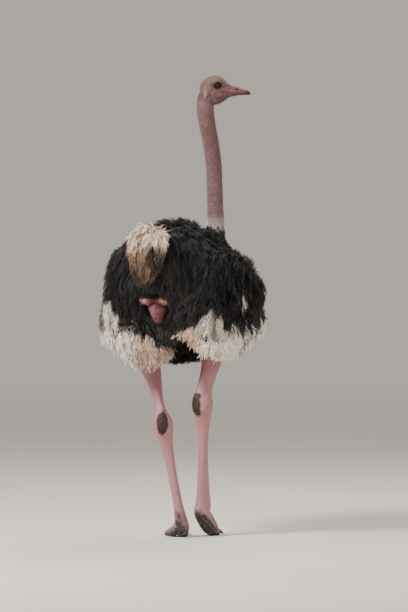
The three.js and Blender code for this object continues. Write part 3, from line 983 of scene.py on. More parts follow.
@dataclass
class Face:
    """The skin's features on the head, in millimetres from the middle of the eyes."""

    lid_wide: float = 15.0
    lid_high: float = 12.6
    lid_thick: float = 2.4
    bill_edge: float = 60.0
    ear: tuple[float, float] = (-47.0, -54.0)
    ear_size: tuple[float, float] = (6.5, 9.0)
    gape: tuple[float, float] = (9.0, -30.5)
    mouth_height: float = -32.0
    mouth_drop: float = 3.5

    def local(self, points: Array) -> tuple[Array, Array, Array]:
        """How far ahead, to the left and up from the middle of the eyes."""
        offset = points - np.array(EYES_MIDDLE)
        return offset @ AHEAD, offset @ HEAD_LEFT, offset[:, 2]

    def mouth(self, ahead: Array) -> Array:
        """Height of the mouth line."""
        return self.mouth_height - (ahead - 45.0) * math.tan(math.radians(self.mouth_drop))

    def edge(self, points: Array) -> Array:
        """How far ahead the skin reaches over the bill's root: far along its sides, least on its ridge."""
        _, left, up = self.local(points)
        sides, ridge = 15.0 * bell(up, -17.0, 10.0), 8.0 * bell(left, 0.0, 8.0)
        return self.bill_edge + sides - ridge + 2.0 * lumps(points, 7.0, 87)

    def lid(self, points: Array) -> tuple[Array, Array]:
        """Distance from the edge of the eye's opening, seen from the side, and height over its middle."""
        ahead, _, up = self.local(points)
        tilt = math.radians(4.0)
        x = ahead * math.cos(tilt) + up * math.sin(tilt)
        z = up * math.cos(tilt) - ahead * math.sin(tilt)
        share = np.sqrt((x / self.lid_wide) ** 2 + ((z + 0.4) / self.lid_high) ** 2)
        return (share - 1.0) * self.lid_high, z

    def ear_share(self, ahead: Array, up: Array) -> Array:
        """0 in the middle of the ear and 1 at its rim."""
        return np.hypot((ahead - self.ear[0]) / self.ear_size[0], (up - self.ear[1]) / self.ear_size[1])

    def ear_patch(self, ahead: Array, up: Array) -> Array:
        """1 in the pale patch behind and above the ear."""
        return bell(ahead, -56.0, 6.0) * bell(up, -36.0, 17.0)

    def temple(self, ahead: Array, up: Array) -> Array:
        """1 in the dark hollow behind the eye."""
        return bell(ahead, -25.0, 8.0) * bell(up, 1.0, 14.0)

    def relief(self, points: Array) -> Array:
        """How far the head's skin stands out from its plain form."""
        ahead, left, up = self.local(points)
        side = ramp(np.abs(left), 12.0, 24.0)
        rim, height = self.lid(points)
        grown = np.zeros(len(points))
        grown += 2.6 * side * bell(up, 20.0 - 0.012 * (ahead - 4) ** 2, 5.0) * bell(ahead, 4.0, 24.0)
        grown += 0.9 * side * bell(rim, 4.6, 1.5) * ramp(height, 8.0, -4.0) - 0.8 * side * bell(rim, 7.4, 1.3)
        grown += 0.7 * side * bell(rim, 10.0, 1.6) * ramp(height, 6.0, -6.0)
        grown -= 2.2 * side * bell(ahead, 32.0, 9.0) * bell(up, -3.0, 9.0)
        grown -= 2.0 * side * bell(ahead, -24.0, 10.0) * bell(up, -30.0, 14.0)
        grown += 2.2 * side * bell(up, -46.0 + 0.25 * (ahead - 10), 6.0) * bell(ahead, 6.0, 28.0)
        ear = self.ear_share(ahead, up)
        grown += side * (1.5 * bell(ear, 1.3, 0.4) - 4.5 * ramp(ear, 0.95, 0.2))
        slit = up - self.mouth(ahead)
        reach = ramp(ahead, self.gape[0] - 4, self.gape[0] + 6)
        lips = 1.3 * bell(slit, -4.4, 2.4) + 0.8 * bell(slit, 3.6, 2.0) - 3.2 * bell(slit, 0.0, 1.3)
        grown += side * reach * lips
        corner = np.hypot(ahead - self.gape[0], slit)
        grown += side * 0.9 * bell(corner, 6.0, 2.0) * ramp(ahead, self.gape[0] + 4, self.gape[0] - 4)
        folds = np.sin(left * 0.42 + 0.05 * up) * bell(up, -78.0, 20.0) * ramp(ahead, -30.0, -8.0)
        return grown + 0.7 * folds

    def shape(self, points: Array) -> Array:
        """Signed distance to the skin of head and neck."""
        ahead, left, _ = self.local(points)
        grown = self.relief(points) * ramp(ahead, self.bill_edge + 6.0, self.bill_edge - 12.0)
        form = HEAD.distance(points, DOWN_DEPTH) - grown
        form = cut(form, self.edge(points) - ahead, 1.0)
        for sign in (1, -1):
            eye = np.array(EYES_MIDDLE) + HEAD_LEFT * sign * EYE_SPREAD
            bulge = np.linalg.norm(points - eye, axis=1) - EYE_RADIUS - self.lid_thick
            form = join(form, bulge, 7.0)
        form = join(form, NECK.distance(points, DOWN_DEPTH), 20.0)
        rim, _ = self.lid(points)
        return cut(form, np.maximum(rim, 17.0 - np.abs(left)), 1.6)


def foot_floor(form: Array, points: Array) -> Array:
    """A foot's signed distance with its sole cut flat at the ground."""
    return cut(form, points[:, 2], 2.0)


@dataclass
class Skin:
    """One skin over head, neck, trunk and legs."""

    head_step: float = 1.6
    leg_step: float = 4.2
    trunk_step: float = 17.0
    vent_step: float = 3.4
    breast: float = -472.0  # foremost place of the skin
    hollow: tuple[Triple, Triple] = ((-6, 358, 1050), (72, 82, 70))  # round the vent: middle, half sizes
    folds: tuple[tuple[Triple, Triple], ...] = (
        ((34, 310, 1087), (41, 56, 24)),
        ((-46, 312, 1091), (43, 56, 26)),
        ((3, 298, 1034), (48, 62, 50)),
    )
    face: Face = field(default_factory=Face)

    def leg_shape(self, leg: Leg) -> Measure:
        """Signed distance to one leg's skin."""
        joints = JOINTS[leg.side]
        shank, tarsus = leg.shank, leg.tarsus
        main, outer = leg.toe(joints.main_toe), leg.toe(joints.outer_toe)

        def shape(points: Array) -> Array:
            """Signed distance to shank, tarsus and toes."""
            form = join(shank.distance(points), tarsus.distance(points), 16.0)
            toes = join(main.distance(points), outer.distance(points), 5.0)
            return foot_floor(join(form, toes, 9.0), points)

        return shape

    def trunk_shape(self, points: Array) -> Array:
        """Signed distance to the trunk and folded wings under their plumage."""
        form = TRUNK.distance(points, COAT_DEPTH)
        for side in Side:
            form = join(form, wing_limb(side).distance(points, COAT_DEPTH * 0.8), 20.0)
        form = cut(form, points[:, 1] - self.breast, 24.0)
        return cut(form, ball(points, *self.hollow), 8.0)

    def vent_shape(self, points: Array) -> Array:
        """Signed distance to the bare folds under the tail."""
        left, right, lower = self.folds
        upper = join(ball(points, *left), ball(points, *right), 16.0)
        x, _, z = points.T
        narrow = points.copy()
        narrow[:, 0] = (x - VENT_X) * (1.0 + 1.1 * ramp(z, 1064, 990))
        form = join(upper, ball(narrow, *lower), 5.0)
        return form - 1.4 * np.sin(x * 0.16 + 0.05 * z) * bell(z, 1060, 40)

    def build(self) -> Thing:
        """Makes the skin's mesh and joins its parts."""
        fine = self.head_step
        lines = (steps((-125, 62, fine), (62, 92, 5)), steps((-470, -262, fine), (-262, -200, 5)))
        tall = steps((1205, 1400, 9.0), (1400, 1880, 4.6), (1880, 2104, fine))
        head = mesh_object("skin", *surface_of(self.face.shape, (*lines, tall)))
        parts = []
        for side in Side:
            leg = Leg(side)
            low, high = ((-90, 300), (-190, 260)) if side is Side.LEFT else ((-270, -20), (-330, 190))
            grid = (steps((*low, self.leg_step)), steps((*high, self.leg_step)))
            tall = steps((-6, 130, 2.8), (130, 560, 3.2), (560, 760, 4.5), (760, 1180, 11.0))
            surface = surface_of(self.leg_shape(leg), (*grid, tall))
            parts.append(mesh_object(f"skin_leg_{side.word}", *surface))
        step, fine = self.trunk_step, self.trunk_step * 0.45
        grid = (
            steps((-360, -96, step), (-96, 96, fine), (96, 360, step)),
            steps((-500, 240, step), (240, 430, fine)),
            steps((780, 940, step), (940, 1140, fine), (1140, 1460, step)),
        )
        parts.append(mesh_object("skin_trunk", *surface_of(self.trunk_shape, grid)))
        grid = tuple(steps((*ends, self.vent_step)) for ends in ((-100, 88), (220, 380), (960, 1130)))
        parts.append(mesh_object("skin_vent", *surface_of(self.vent_shape, grid)))
        weld(head, *parts)
        return head

    def wrinkle(self, thing: Thing) -> None:
        """Adds the neck's rings, the legs' scutes and creases and the heels' pads."""
        points, normals = points_of(thing), normals_of(thing)
        height = points[:, 2]
        neck, _, a, b = NECK.local(points)
        on_neck = ramp(np.abs(neck), 14.0, 8.0) * ramp(height, 1400, 1470) * ramp(height, 2010, 1960)
        turn = np.arctan2(b, a)
        wave = height * 0.7 + 4.0 * lumps(points, 30.0, 3) + 0.5 * np.sin(turn * 2)
        rings = 0.14 * np.sin(wave) + 0.8 * lumps(points, 19.0, 5) + 0.5 * np.cos(turn * 3 + height * 0.01)
        grown = on_neck * rings
        for side in Side:
            grown += self.leg_relief(Leg(side), points)
        move_points(thing, points + normals * grown[:, None])

    def leg_relief(self, leg: Leg, points: Array) -> Array:
        """How far one leg's skin stands out from its plain form."""
        joints = JOINTS[leg.side]
        grown = np.zeros(len(points))
        near, place, _, _ = leg.tarsus.local(points)
        on = ramp(np.abs(near), 14.0, 6.0)
        front = ramp(leg.front(points, place), 0.1, 0.65)
        band = ramp(place / leg.tarsus.last, 0.2, 0.34) * ramp(points[:, 2], 20, 60)
        scute = np.abs(np.sin(points[:, 2] * math.pi / 12.0 + 0.25 * lumps(points, 40.0, 7)))
        grown += on * front * band * (1.5 * np.sqrt(scute) - 0.7)
        back = 1.0 - front
        grown += on * back * band * 0.45 * np.sin(points[:, 2] * 0.75 + 2.0 * lumps(points, 24.0, 9))
        behind, up, pad = leg.heel(points)
        grown += ramp(pad, 1.05, 0.75) * ramp(behind, 10.0, 26.0) * (2.4 + 1.0 * lumps(points, 7.0, 11))
        crease = 0.9 * (bell(up, 40.0, 9.0) + bell(up, -34.0, 8.0)) * ramp(np.abs(up), 90, 60)
        grown -= crease * (0.5 + 0.5 * np.sin(up * 0.9)) * ramp(behind, 40, 0)
        for rows in (joints.main_toe, joints.outer_toe):
            near, place, _, b = leg.toe(rows).local(points)
            on = ramp(np.abs(near), 10.0, 4.0) * ramp(points[:, 2], 6.0, 14.0)
            top = ramp(b if leg.side is Side.LEFT else np.abs(b), 2.0, 12.0)
            grown += on * top * (1.3 * np.sqrt(np.abs(np.sin(place * math.pi * 2.4))) - 0.6)
        return grown

    def paint(self, thing: Thing) -> None:
        """Stores the skin's colours on its points."""
        points, normals = points_of(thing), normals_of(thing)
        hue = Paint(points, (0.145, 0.062, 0.069))
        hue.mix((0.085, 0.04, 0.042), 0.7 * ramp(lumps(points * (1, 1, 0.45), 11.0, 81), 0.0, 0.7))
        hue.mix((0.3, 0.2, 0.19), 0.45 * ramp(lumps(points, 6.0, 83), 0.25, 0.8))
        height = points[:, 2]
        hue.mix((0.385, 0.19, 0.2), ramp(height, 1100, 1000))
        # painted shade: near-black skin under the trunk's plumes and at the neck's foot, so gaps in the coat
        # read as shadow
        hue.mix(COAT_SHADE, ramp(self.trunk_shape(points), 9.0, 2.0) * ramp(height, 740, 780))
        hue.mix(COAT_SHADE, ramp(height, 1100, 1180) * ramp(height, 1405, 1385))
        hue.mix((0.03, 0.026, 0.026), ramp(height, 1250, 1310) * ramp(height, 1405, 1385))
        for side in Side:
            self.paint_leg(Leg(side), points, normals, hue)
        vent = self.vent_shape(points) - 1.5 * lumps(points, 9.0, 21)
        on_vent = ramp(vent, 5.0, -1.0) * ramp(points[:, 1], 260, 300)
        hue.mix((0.14, 0.043, 0.045), on_vent)
        outer = ramp(np.abs(points[:, 0] - VENT_X), 18, 44)
        hue.mix((0.5, 0.27, 0.24), 0.8 * on_vent * outer * ramp(height, 1058, 1090))
        hue.mix((0.1, 0.035, 0.04), 0.9 * on_vent * bell(height, 1053 + 0.003 * points[:, 0] ** 2, 5.5))
        # painted shadow under the tail on the top of the vent's folds
        hue.mix((0.1, 0.04, 0.045), 0.8 * on_vent * ramp(height, 1092, 1112))
        self.paint_head(points, hue)
        store(thing, "hue", hue.colour)

    def paint_leg(self, leg: Leg, points: Array, normals: Array, hue: Paint) -> None:
        """Marks one leg: flushed shin, pale bands, dark heel pad and soles."""
        joints = JOINTS[leg.side]
        on = ramp(np.abs(leg.shank.distance(points)), 16.0, 8.0)
        hue.mix((0.3, 0.13, 0.145), on * 0.65 * ramp(lumps(points * (1, 1, 0.35), 30.0, 13), -0.1, 0.6))
        near, place, _, _ = leg.tarsus.local(points)
        on = ramp(np.abs(near), 12.0, 6.0)
        share = place / leg.tarsus.last
        front = leg.front(points, place)
        hue.mix((0.42, 0.17, 0.18), on * 0.5 * bell(share, 0.34, 0.16) * ramp(front, 0.4, -0.6))
        hue.mix((0.5, 0.36, 0.34), on * 0.5 * ramp(front, 0.2, 0.9) * ramp(share, 0.1, 0.3))
        hue.mix((0.26, 0.13, 0.13), on * 0.35 * ramp(lumps(points * (1, 1, 0.5), 16.0, 15), 0.1, 0.7))
        behind, _, pad = leg.heel(points)
        pad = pad + 0.12 * lumps(points, 9.0, 17)
        hue.mix((0.024, 0.012, 0.007), ramp(pad, 1.05, 0.85) * ramp(behind, 8.0, 24.0))
        foot = ramp(points[:, 2], joints.toe_joint[2] + 4, joints.toe_joint[2] - 26)
        around = ramp(np.linalg.norm((points - np.array(joints.toe_joint)) * (1, 1, 0), axis=1), 290, 270)
        hue.mix((0.16, 0.11, 0.1), foot * around * 0.6)
        sole = ramp(-normals[:, 2] - 0.35 * (normals @ leg.ahead), 0.1, 0.5)
        hue.mix((0.028, 0.022, 0.02), foot * around * sole * ramp(lumps(points, 12.0, 19), -0.9, 0.0))

    def paint_head(self, points: Array, hue: Paint) -> None:
        """Marks the head: flushed round the eye and gape, pale ear, dark lids, painted shade in the mouth
        line and the ear opening, and a painted shadow on the throat under the jaw.
        """
        face = self.face
        ahead, left, up = face.local(points)
        head = ramp(points[:, 2], 1940, 1975)
        rim, _ = face.lid(points)
        side = ramp(np.abs(left), 10.0, 22.0)
        hue.mix((0.23, 0.15, 0.11), head * 0.7 * ramp(up, 8.0, 32.0))
        hue.mix((0.1, 0.058, 0.046), head * 0.6 * bell(up, -34.0, 26.0) * ramp(ahead, 30.0, -6.0) * side)
        mottle = ramp(lumps(points, 9.0, 85), 0.0, 0.6)
        hue.mix((0.2, 0.135, 0.12), head * 0.6 * side * mottle * ramp(up, -12.0, -30.0))
        hue.mix((0.045, 0.02, 0.018), head * side * 0.9 * bell(ahead, 34.0, 11.0) * bell(up, -4.0, 8.0))
        hue.mix((0.1, 0.028, 0.038), head * side * 0.85 * ramp(rim, 15.0, 5.0))
        hue.mix((0.028, 0.013, 0.015), head * side * 0.9 * face.temple(ahead, up))
        hue.mix((0.014, 0.007, 0.007), head * side * ramp(rim, 6.4, 2.2))
        # painted shadow on the throat under the jaw
        hue.mix((0.05, 0.03, 0.025), head * 0.8 * bell(up, -66.0, 15.0) * ramp(ahead, -20.0, 8.0))
        slit = up - face.mouth(ahead)
        gape = head * side * ramp(ahead, face.gape[0] - 8, face.gape[0] + 6)
        hue.mix((0.2, 0.03, 0.038), gape * 0.9 * bell(slit, 0.5, 5.0))
        # painted shade in the crease of the mouth line
        hue.mix((0.03, 0.01, 0.01), gape * 0.8 * bell(slit, 0.0, 1.0))
        hue.mix((0.36, 0.28, 0.24), head * side * 0.7 * face.ear_patch(ahead, up))
        # painted shade inside the ear opening
        hue.mix((0.03, 0.018, 0.018), head * side * ramp(face.ear_share(ahead, up), 0.9, 0.5))


class Paint:
    """Colours on points, mixed one over another."""

    def __init__(self, points: Array, base: Triple) -> None:
        """Starts with one colour everywhere."""
        self.colour = np.tile(np.array(base), (len(points), 1))

    def mix(self, colour: Triple, share: Array) -> None:
        """Turns the colours towards another by a share for each point."""
        share = np.clip(share, 0.0, 1.0)[:, None]
        self.colour = between(self.colour, np.array(colour), share)


# ---------------------------------------------------------------- bill, eyes and claws


@dataclass
class Bill:
    """The two halves of the horn bill."""

    face: Face
    root: float = 38.0  # how far ahead of the eyes the horn starts, under the skin
    gap: float = 0.08  # from the mouth line to each half
    lift: float = 3.6  # how far the upper half rises over its solid form
    step: float = 1.25

    def shape(self, upper: bool) -> Measure:
        """Signed distance to one half."""

        def distance(points: Array) -> Array:
            """Signed distance to the half that is asked for."""
            ahead, left, up = self.face.local(points)
            edge = self.face.edge(points)
            high = np.clip((up - self.face.mouth(ahead)) / 12.0, 0, 1)
            lift = self.lift * high * ramp(ahead, 62, 94) if upper else 0.0 * ahead
            plain = HEAD.distance(points - UP * lift[:, None])
            sunk = 2.4 * ramp(ahead, edge + 15, edge - 2) + 4.0 * ramp(ahead, edge - 2, edge - 8)
            form = np.maximum(plain + sunk, self.root - ahead)
            line = self.face.mouth(ahead) - 1.6 * ramp(-plain, 1.6, 2.6)
            if not upper:
                return np.maximum(form + 0.5 * ramp(ahead, 150, 60), up - line + self.gap)
            ridge = 1.3 * bell(left, 0.0, 6.0) * ramp(ahead, 60, 84) * ramp(ahead, 150, 130)
            groove = 0.9 * bell(np.abs(left), 9.5, 2.4) * ramp(ahead, 62, 84) * ramp(ahead, 140, 120)
            nail = 1.0 * bell(ahead, 128.0, 1.6) * ramp(up, -36, -26)
            nostril = np.maximum((self.slot(ahead, up) - 1.0) * 2.7, 9.0 - np.abs(left))
            return np.maximum(cut(form - ridge + groove + nail, nostril, 1.6), line + self.gap - up)

        return distance

    def slot(self, ahead: Array, up: Array) -> Array:
        """Below 1 inside the nostril, seen from the side."""
        return np.sqrt(((ahead - 87.0 + 0.3 * (up + 18)) / 7.5) ** 2 + ((up + 18.5) / 2.5) ** 2)

    def build(self, upper: bool) -> Thing:
        """Makes and paints one half."""
        ends = (np.array(EYES_MIDDLE) + AHEAD * reach for reach in (30, 156))
        grid = (steps((min(a, b) - edge, max(a, b) + edge, self.step)) for a, b, edge in zip(*ends, (14, 36)))
        tall = steps((EYES_MIDDLE[2] - 75, EYES_MIDDLE[2] + 32, self.step))
        name = "bill_above" if upper else "bill_below"
        thing = mesh_object(name, *surface_of(self.shape(upper), (*grid, tall)))
        points = points_of(thing)
        ahead, left, up = self.face.local(points)
        hue = Paint(points, (0.14, 0.06, 0.066))
        Skin(face=self.face).paint_head(points, hue)
        edge = self.face.edge(points)
        # the lower half's darker horn colour is painted shade under the upper half
        hue.mix((0.12, 0.052, 0.048) if upper else (0.07, 0.035, 0.03), ramp(ahead, edge - 2, edge + 16))
        hue.mix((0.11, 0.05, 0.028), 0.8 * ramp(ahead, 88, 114))
        hue.mix((0.06, 0.027, 0.014), 0.9 * ramp(ahead, 104, 128) * ramp(up, -24, -34))
        if upper:
            ridge = 0.85 * bell(left, 0.0, 7.0) * ramp(ahead, 56, 82) * ramp(ahead, 148, 132)
            hue.mix((0.2, 0.08, 0.05), ridge)
            slot = self.slot(ahead, up)
            hue.mix((0.16, 0.03, 0.035), 0.8 * ramp(slot, 2.2, 1.2))
            # painted shade inside the nostril
            hue.mix((0.02, 0.008, 0.008), ramp(slot, 1.15, 0.85))
        slit = np.abs(up - self.face.mouth(ahead))
        hue.mix((0.16, 0.026, 0.032), 0.85 * bell(slit, 1.5, 3.4) * ramp(ahead, 100, 72))
        # painted shade along the mouth line between the two halves
        hue.mix((0.035, 0.018, 0.012), 0.7 * bell(slit, 0.0, 1.4) * ramp(ahead, 60, 90))
        hue.mix((0.012, 0.007, 0.005), 0.95 * ramp(ahead, 126, 140))
        store(thing, "hue", hue.colour)
        return thing


@dataclass
class Eye:
    """One eyeball with its cornea standing a little proud."""

    side: Side
    iris: float = 12.0
    pupil: float = 6.6
    rings: int = 48
    sides: int = 64

    def build(self) -> Thing:
        """Makes and paints the eyeball."""
        tilt = np.linspace(0.0, math.pi, self.rings)[1:-1]
        turn = np.arange(self.sides) * 2 * math.pi / self.sides
        tilt, turn = (grid.ravel() for grid in np.meshgrid(tilt, turn, indexing="ij"))
        tilt, turn = np.append(tilt, (0.0, math.pi)), np.append(turn, (0.0, 0.0))
        outward = HEAD_LEFT * self.side.value
        around = np.cos(turn)[:, None] * AHEAD + np.sin(turn)[:, None] * UP
        way = np.cos(tilt)[:, None] * outward + np.sin(tilt)[:, None] * around
        reach = EYE_RADIUS + 0.9 * ramp(tilt, 0.75, 0.35)
        middle = np.array(EYES_MIDDLE) + outward * EYE_SPREAD
        faces = ball_faces(self.rings - 2, self.sides)
        thing = mesh_object(f"eyeball_{self.side.word}", middle + way * reach[:, None], faces)
        facing_out(thing)
        points = points_of(thing)
        from_axis = np.linalg.norm(np.cross(points - middle, outward), axis=1)
        hue = Paint(points, (0.008, 0.005, 0.005))
        hue.mix((0.016, 0.007, 0.004), ramp(from_axis, self.iris + 1.0, self.iris - 1.5))
        hue.mix((0.004, 0.004, 0.005), ramp(from_axis, self.pupil + 0.7, self.pupil - 0.4))
        store(thing, "hue", hue.colour)
        return thing


def ball_faces(rings: int, sides: int) -> Array:
    """Triangles over rings of points with one pole point after them at each end."""
    faces = []
    for ring in range(rings - 1):
        for k in range(sides):
            a, b = ring * sides + k, ring * sides + (k + 1) % sides
            faces += [(a, b, b + sides), (a, b + sides, a + sides)]
    first, last = rings * sides, rings * sides + 1
    for k in range(sides):
        after = (k + 1) % sides
        faces += [(first, after, k), (last, (rings - 1) * sides + k, (rings - 1) * sides + after)]
    return np.array(faces)


def facing_out(thing: Thing) -> None:
    """Turns a closed mesh's faces outwards."""
    work = bmesh.new()
    work.from_mesh(thing.data)
    bmesh.ops.recalc_face_normals(work, faces=work.faces)
    work.to_mesh(thing.data)
    work.free()


@dataclass
class Claw:
    """The main toe's claw: a blunt, curved nail."""

    leg: Leg
    step: float = 1.3
    margin: float = 14.0  # from the middle line to the grid's border

    def build(self) -> Thing:
        """Makes and paints the claw."""
        limb = self.leg.toe(JOINTS[self.leg.side].claw)
        points = limb.stations(np.linspace(0, limb.last, 20)).at
        low, high = points.min(0) - self.margin, points.max(0) + self.margin
        grid = tuple(steps((a, b, self.step)) for a, b in zip(low, high))

        def shape(places: Array) -> Array:
            """Signed distance to the claw, flat at the ground."""
            return foot_floor(limb.distance(places), places)

        thing = mesh_object(f"nail_{self.leg.side.word}", *surface_of(shape, grid))
        points = points_of(thing)
        hue = Paint(points, (0.09, 0.07, 0.055))
        hue.mix((0.035, 0.028, 0.024), ramp(limb.local(points)[1], 1.5, 4.0))
        store(thing, "hue", hue.colour)
        return thing


# ---------------------------------------------------------------- down and lashes


class BristleTree(Tree):
    """A node tree that sets a slim three-sided cone on every point of a mesh.

    Each point holds the way its bristle lies, its length in metres and its own place.
    """

    def __init__(self, name: str, finish: Material) -> None:
        """Builds the tree for one finish."""
        super().__init__(bpy.data.node_groups.new(name, "GeometryNodeTree"))
        face = self.tree.interface
        face.new_socket("Geometry", in_out="OUTPUT", socket_type="NodeSocketGeometry")
        face.new_socket("Geometry", in_out="INPUT", socket_type="NodeSocketGeometry")
        self.sockets = {
            key: face.new_socket(key, in_out="INPUT", socket_type=f"NodeSocket{kind}")
            for key, kind in (("Length", "Float"), ("Width", "Float"), ("Spread", "Float"), ("Seed", "Int"))
        }
        source, sink = self.add("NodeGroupInput"), self.add("NodeGroupOutput")
        cone = self.add("GeometryNodeMeshCone")
        sizes = {"Vertices": 3, "Side Segments": 1, "Radius Top": 0.0, "Radius Bottom": 1.0, "Depth": 1.0}
        for key, value in sizes.items():
            cone.inputs[key].default_value = value
        turn = self.add("FunctionNodeAlignRotationToVector", axis="Z")
        self.link(self.stored("lie", "FLOAT_VECTOR"), turn.inputs["Vector"])
        luck = self.add("FunctionNodeRandomValue", data_type="FLOAT")
        self.link(source.outputs["Seed"], luck.inputs["Seed"])
        for operation, key in (("SUBTRACT", 2), ("ADD", 3)):
            node = self.add("ShaderNodeMath", operation=operation)
            node.inputs[0].default_value = 1.0
            self.link(source.outputs["Spread"], node.inputs[1])
            self.link(node.outputs[0], luck.inputs[key])
        reach = self.math("MULTIPLY", self.stored("long", "FLOAT"), source.outputs["Length"])
        size = self.add("ShaderNodeCombineXYZ")
        self.link(self.math("MULTIPLY", reach, luck.outputs[1]), size.inputs["Z"])
        place = self.add("GeometryNodeInstanceOnPoints")
        real, paint = self.add("GeometryNodeRealizeInstances"), self.add("GeometryNodeSetMaterial")
        paint.inputs["Material"].default_value = finish
        for start, out, end, into in (
            (source, "Width", size, "X"),
            (source, "Width", size, "Y"),
            (source, "Geometry", place, "Points"),
            (cone, "Mesh", place, "Instance"),
            (turn, "Rotation", place, "Rotation"),
            (size, "Vector", place, "Scale"),
            (place, "Instances", real, "Geometry"),
            (real, "Geometry", paint, "Geometry"),
            (paint, "Geometry", sink, "Geometry"),
        ):
            self.link(start.outputs[out], end.inputs[into])

    def stored(self, name: str, kind: str) -> Socket:
        """A value stored on the points."""
        node = self.add("GeometryNodeInputNamedAttribute", data_type=kind)
        node.inputs["Name"].default_value = name
        return node.outputs["Attribute"]

    def grow(self, name: str, roots: Array, lie: Array, long: Array, **sizes: float) -> Thing:
        """Grows bristles as one plain mesh.

        Args:
            name: the new object's name.
            roots: places in millimetres in the bird's frame.
            lie: the way each bristle points.
            long: each bristle's length in millimetres.
            sizes: values for the tree's inputs.

        Returns:
            The mesh object, with each bristle's root stored on its points.
        """
        thing = mesh_object(name, roots, np.zeros((0, 3), dtype=int))
        for key, values in (("lie", unit(lie)), ("root", roots * MM + Place.shift)):
            layer = thing.data.attributes.new(key, "FLOAT_VECTOR", "POINT")
            layer.data.foreach_set("vector", values.astype(np.float32).ravel())
        store(thing, "long", long * MM)
        growth = thing.modifiers.new("growth", "NODES")
        growth.node_group = self.tree
        for key, value in sizes.items():
            growth[self.sockets[key].identifier] = value
        make_plain(thing, growth)
        return thing


@dataclass
class Down:
    """The short down of head and neck, and the eyelashes."""

    face: Face
    count: int = 30000
    seed: int = 29
    width: float = 0.00029  # a bristle's half width, in metres
    spread: float = 0.35  # how far lengths differ
    lashes: int = 17
    lash_width: float = 0.00042
    lash_spread: float = 0.2

    def scatter(self, thing: Thing, weight: Array, random: np.random.Generator) -> tuple[Array, Array]:
        """Places on a mesh, more of them where the weight is high, and the normals there."""
        mesh = thing.data
        mesh.calc_loop_triangles()
        corners = np.empty(len(mesh.loop_triangles) * 3, dtype=np.int32)
        mesh.loop_triangles.foreach_get("vertices", corners)
        corners = corners.reshape(-1, 3)
        corners = corners[weight[corners].min(1) > 0]
        points, normals = points_of(thing), normals_of(thing)
        a, b, c = (points[corners[:, k]] for k in range(3))
        share = np.linalg.norm(np.cross(b - a, c - a), axis=1) * weight[corners].mean(1)
        pick = random.choice(len(corners), self.count, p=share / share.sum())
        u, v = random.random((2, self.count))
        u, v = np.where(u + v > 1, 1 - u, u), np.where(u + v > 1, 1 - v, v)
        part = np.stack([1 - u - v, u, v], -1)[..., None]
        return (points[corners[pick]] * part).sum(1), unit((normals[corners[pick]] * part).sum(1))

    def weight(self, points: Array) -> Array:
        """How densely down grows: thick on crown and nape, thin on neck and face, none on lids and lips."""
        ahead, left, up = self.face.local(points)
        rim, _ = self.face.lid(points)
        height = points[:, 2]
        head = ramp(height, 1950, 2000)
        crown = ramp(up, -10, 25) * ramp(ahead, 50, 25)
        nape = ramp(ahead, -20, -45) * ramp(up, -90, -50)
        dense = 0.28 + 0.9 * np.maximum(crown, nape)
        slit = np.abs(up - self.face.mouth(ahead))
        bare = ramp(rim, 9.0, 4.0) * (np.abs(left) > 12) + ramp(slit, 6.0, 3.0) * ramp(ahead, 0, 10)
        bare = bare + ramp(ahead, 44, 56) + ramp(self.face.ear_share(ahead, up), 1.2, 0.8)
        neck = 0.16 + 0.45 * ramp(height, 1480, 1410) + 0.1 * lumps(points * (1, 1, 0.5), 30.0, 89)
        thick = head * dense * (1 - np.clip(bare, 0, 1)) + (1 - head) * neck
        return np.where((height > 1405) & (thick > 0.01), thick, 0.0)

    def build(self, skin: Thing, finish: Material) -> Thing:
        """Grows the down over the skin."""
        random = np.random.default_rng(self.seed)
        roots, normals = self.scatter(skin, self.weight(points_of(skin)), random)
        ahead, _, up = self.face.local(roots)
        head = ramp(roots[:, 2], 1960, 2010)[:, None]
        back = -AHEAD * ramp(up, -60, 20)[:, None] - UP * (0.25 + 0.9 * ramp(up, 30, -50))[:, None]
        way = back * head - UP * (1 - head)
        way = unit(way - normals * np.sum(way * normals, axis=1, keepdims=True))
        way = way + normals * (0.5 + 0.25 * (1 - head)) + random.normal(0.0, 0.22, roots.shape)
        front = ramp(ahead, 0, 40) * head[:, 0]
        long = (8.5 - 3.0 * head[:, 0]) * (1 - 0.5 * front)
        sizes = {"Length": 1.0, "Width": self.width, "Spread": self.spread, "Seed": self.seed}
        thing = BristleTree("short_down", finish).grow("down", roots - normals * 0.4, way, long, **sizes)
        self.colour(thing)
        return thing

    def colour(self, thing: Thing) -> None:
        """Stores the down's colours and its map."""
        roots = (read_vectors(thing.data.attributes["root"].data, "vector") - Place.shift) / MM
        away = np.linalg.norm(points_of(thing) - roots, axis=1)
        ahead, _, up = self.face.local(roots)
        hue = Paint(roots, (0.3, 0.205, 0.19))
        hue.mix((0.13, 0.07, 0.06), ramp(lumps(roots, 1.1, 101), 0.0, 0.5))
        hue.mix((0.62, 0.56, 0.52), ramp(roots[:, 2], 1470, 1415))
        head = ramp(roots[:, 2], 1960, 2010)
        hue.mix((0.27, 0.175, 0.125), head * 0.75)
        hue.mix((0.1, 0.058, 0.045), 0.75 * head * ramp(up, -10, -50))
        hue.mix((0.45, 0.36, 0.31), 0.8 * head * self.face.ear_patch(ahead, up))
        hue.mix((0.05, 0.024, 0.022), 0.9 * head * self.face.temple(ahead, up))
        store(thing, "hue", hue.colour)
        store(thing, "along", np.clip(away / 8.0, 0, 1))
        onto_head = roots[:, 2] > 2000
        spots = []
        for limb, low, high in ((NECK, 0.0, 0.7), (HEAD, 0.72, 1.0)):
            _, place, a, b = limb.local(roots)
            turn = np.arctan2(b, a) / (2 * math.pi) % 1.0
            spots.append(np.stack([low + (high - low) * place / limb.last, turn], -1))
        middle = np.where(onto_head[:, None], spots[1], spots[0]).clip(0.002, 0.998)
        corner = np.clip((points_of(thing) - roots)[:, :2] / 8.0, -0.5, 0.5) * 0.003
        lay_flat(thing, middle + corner)

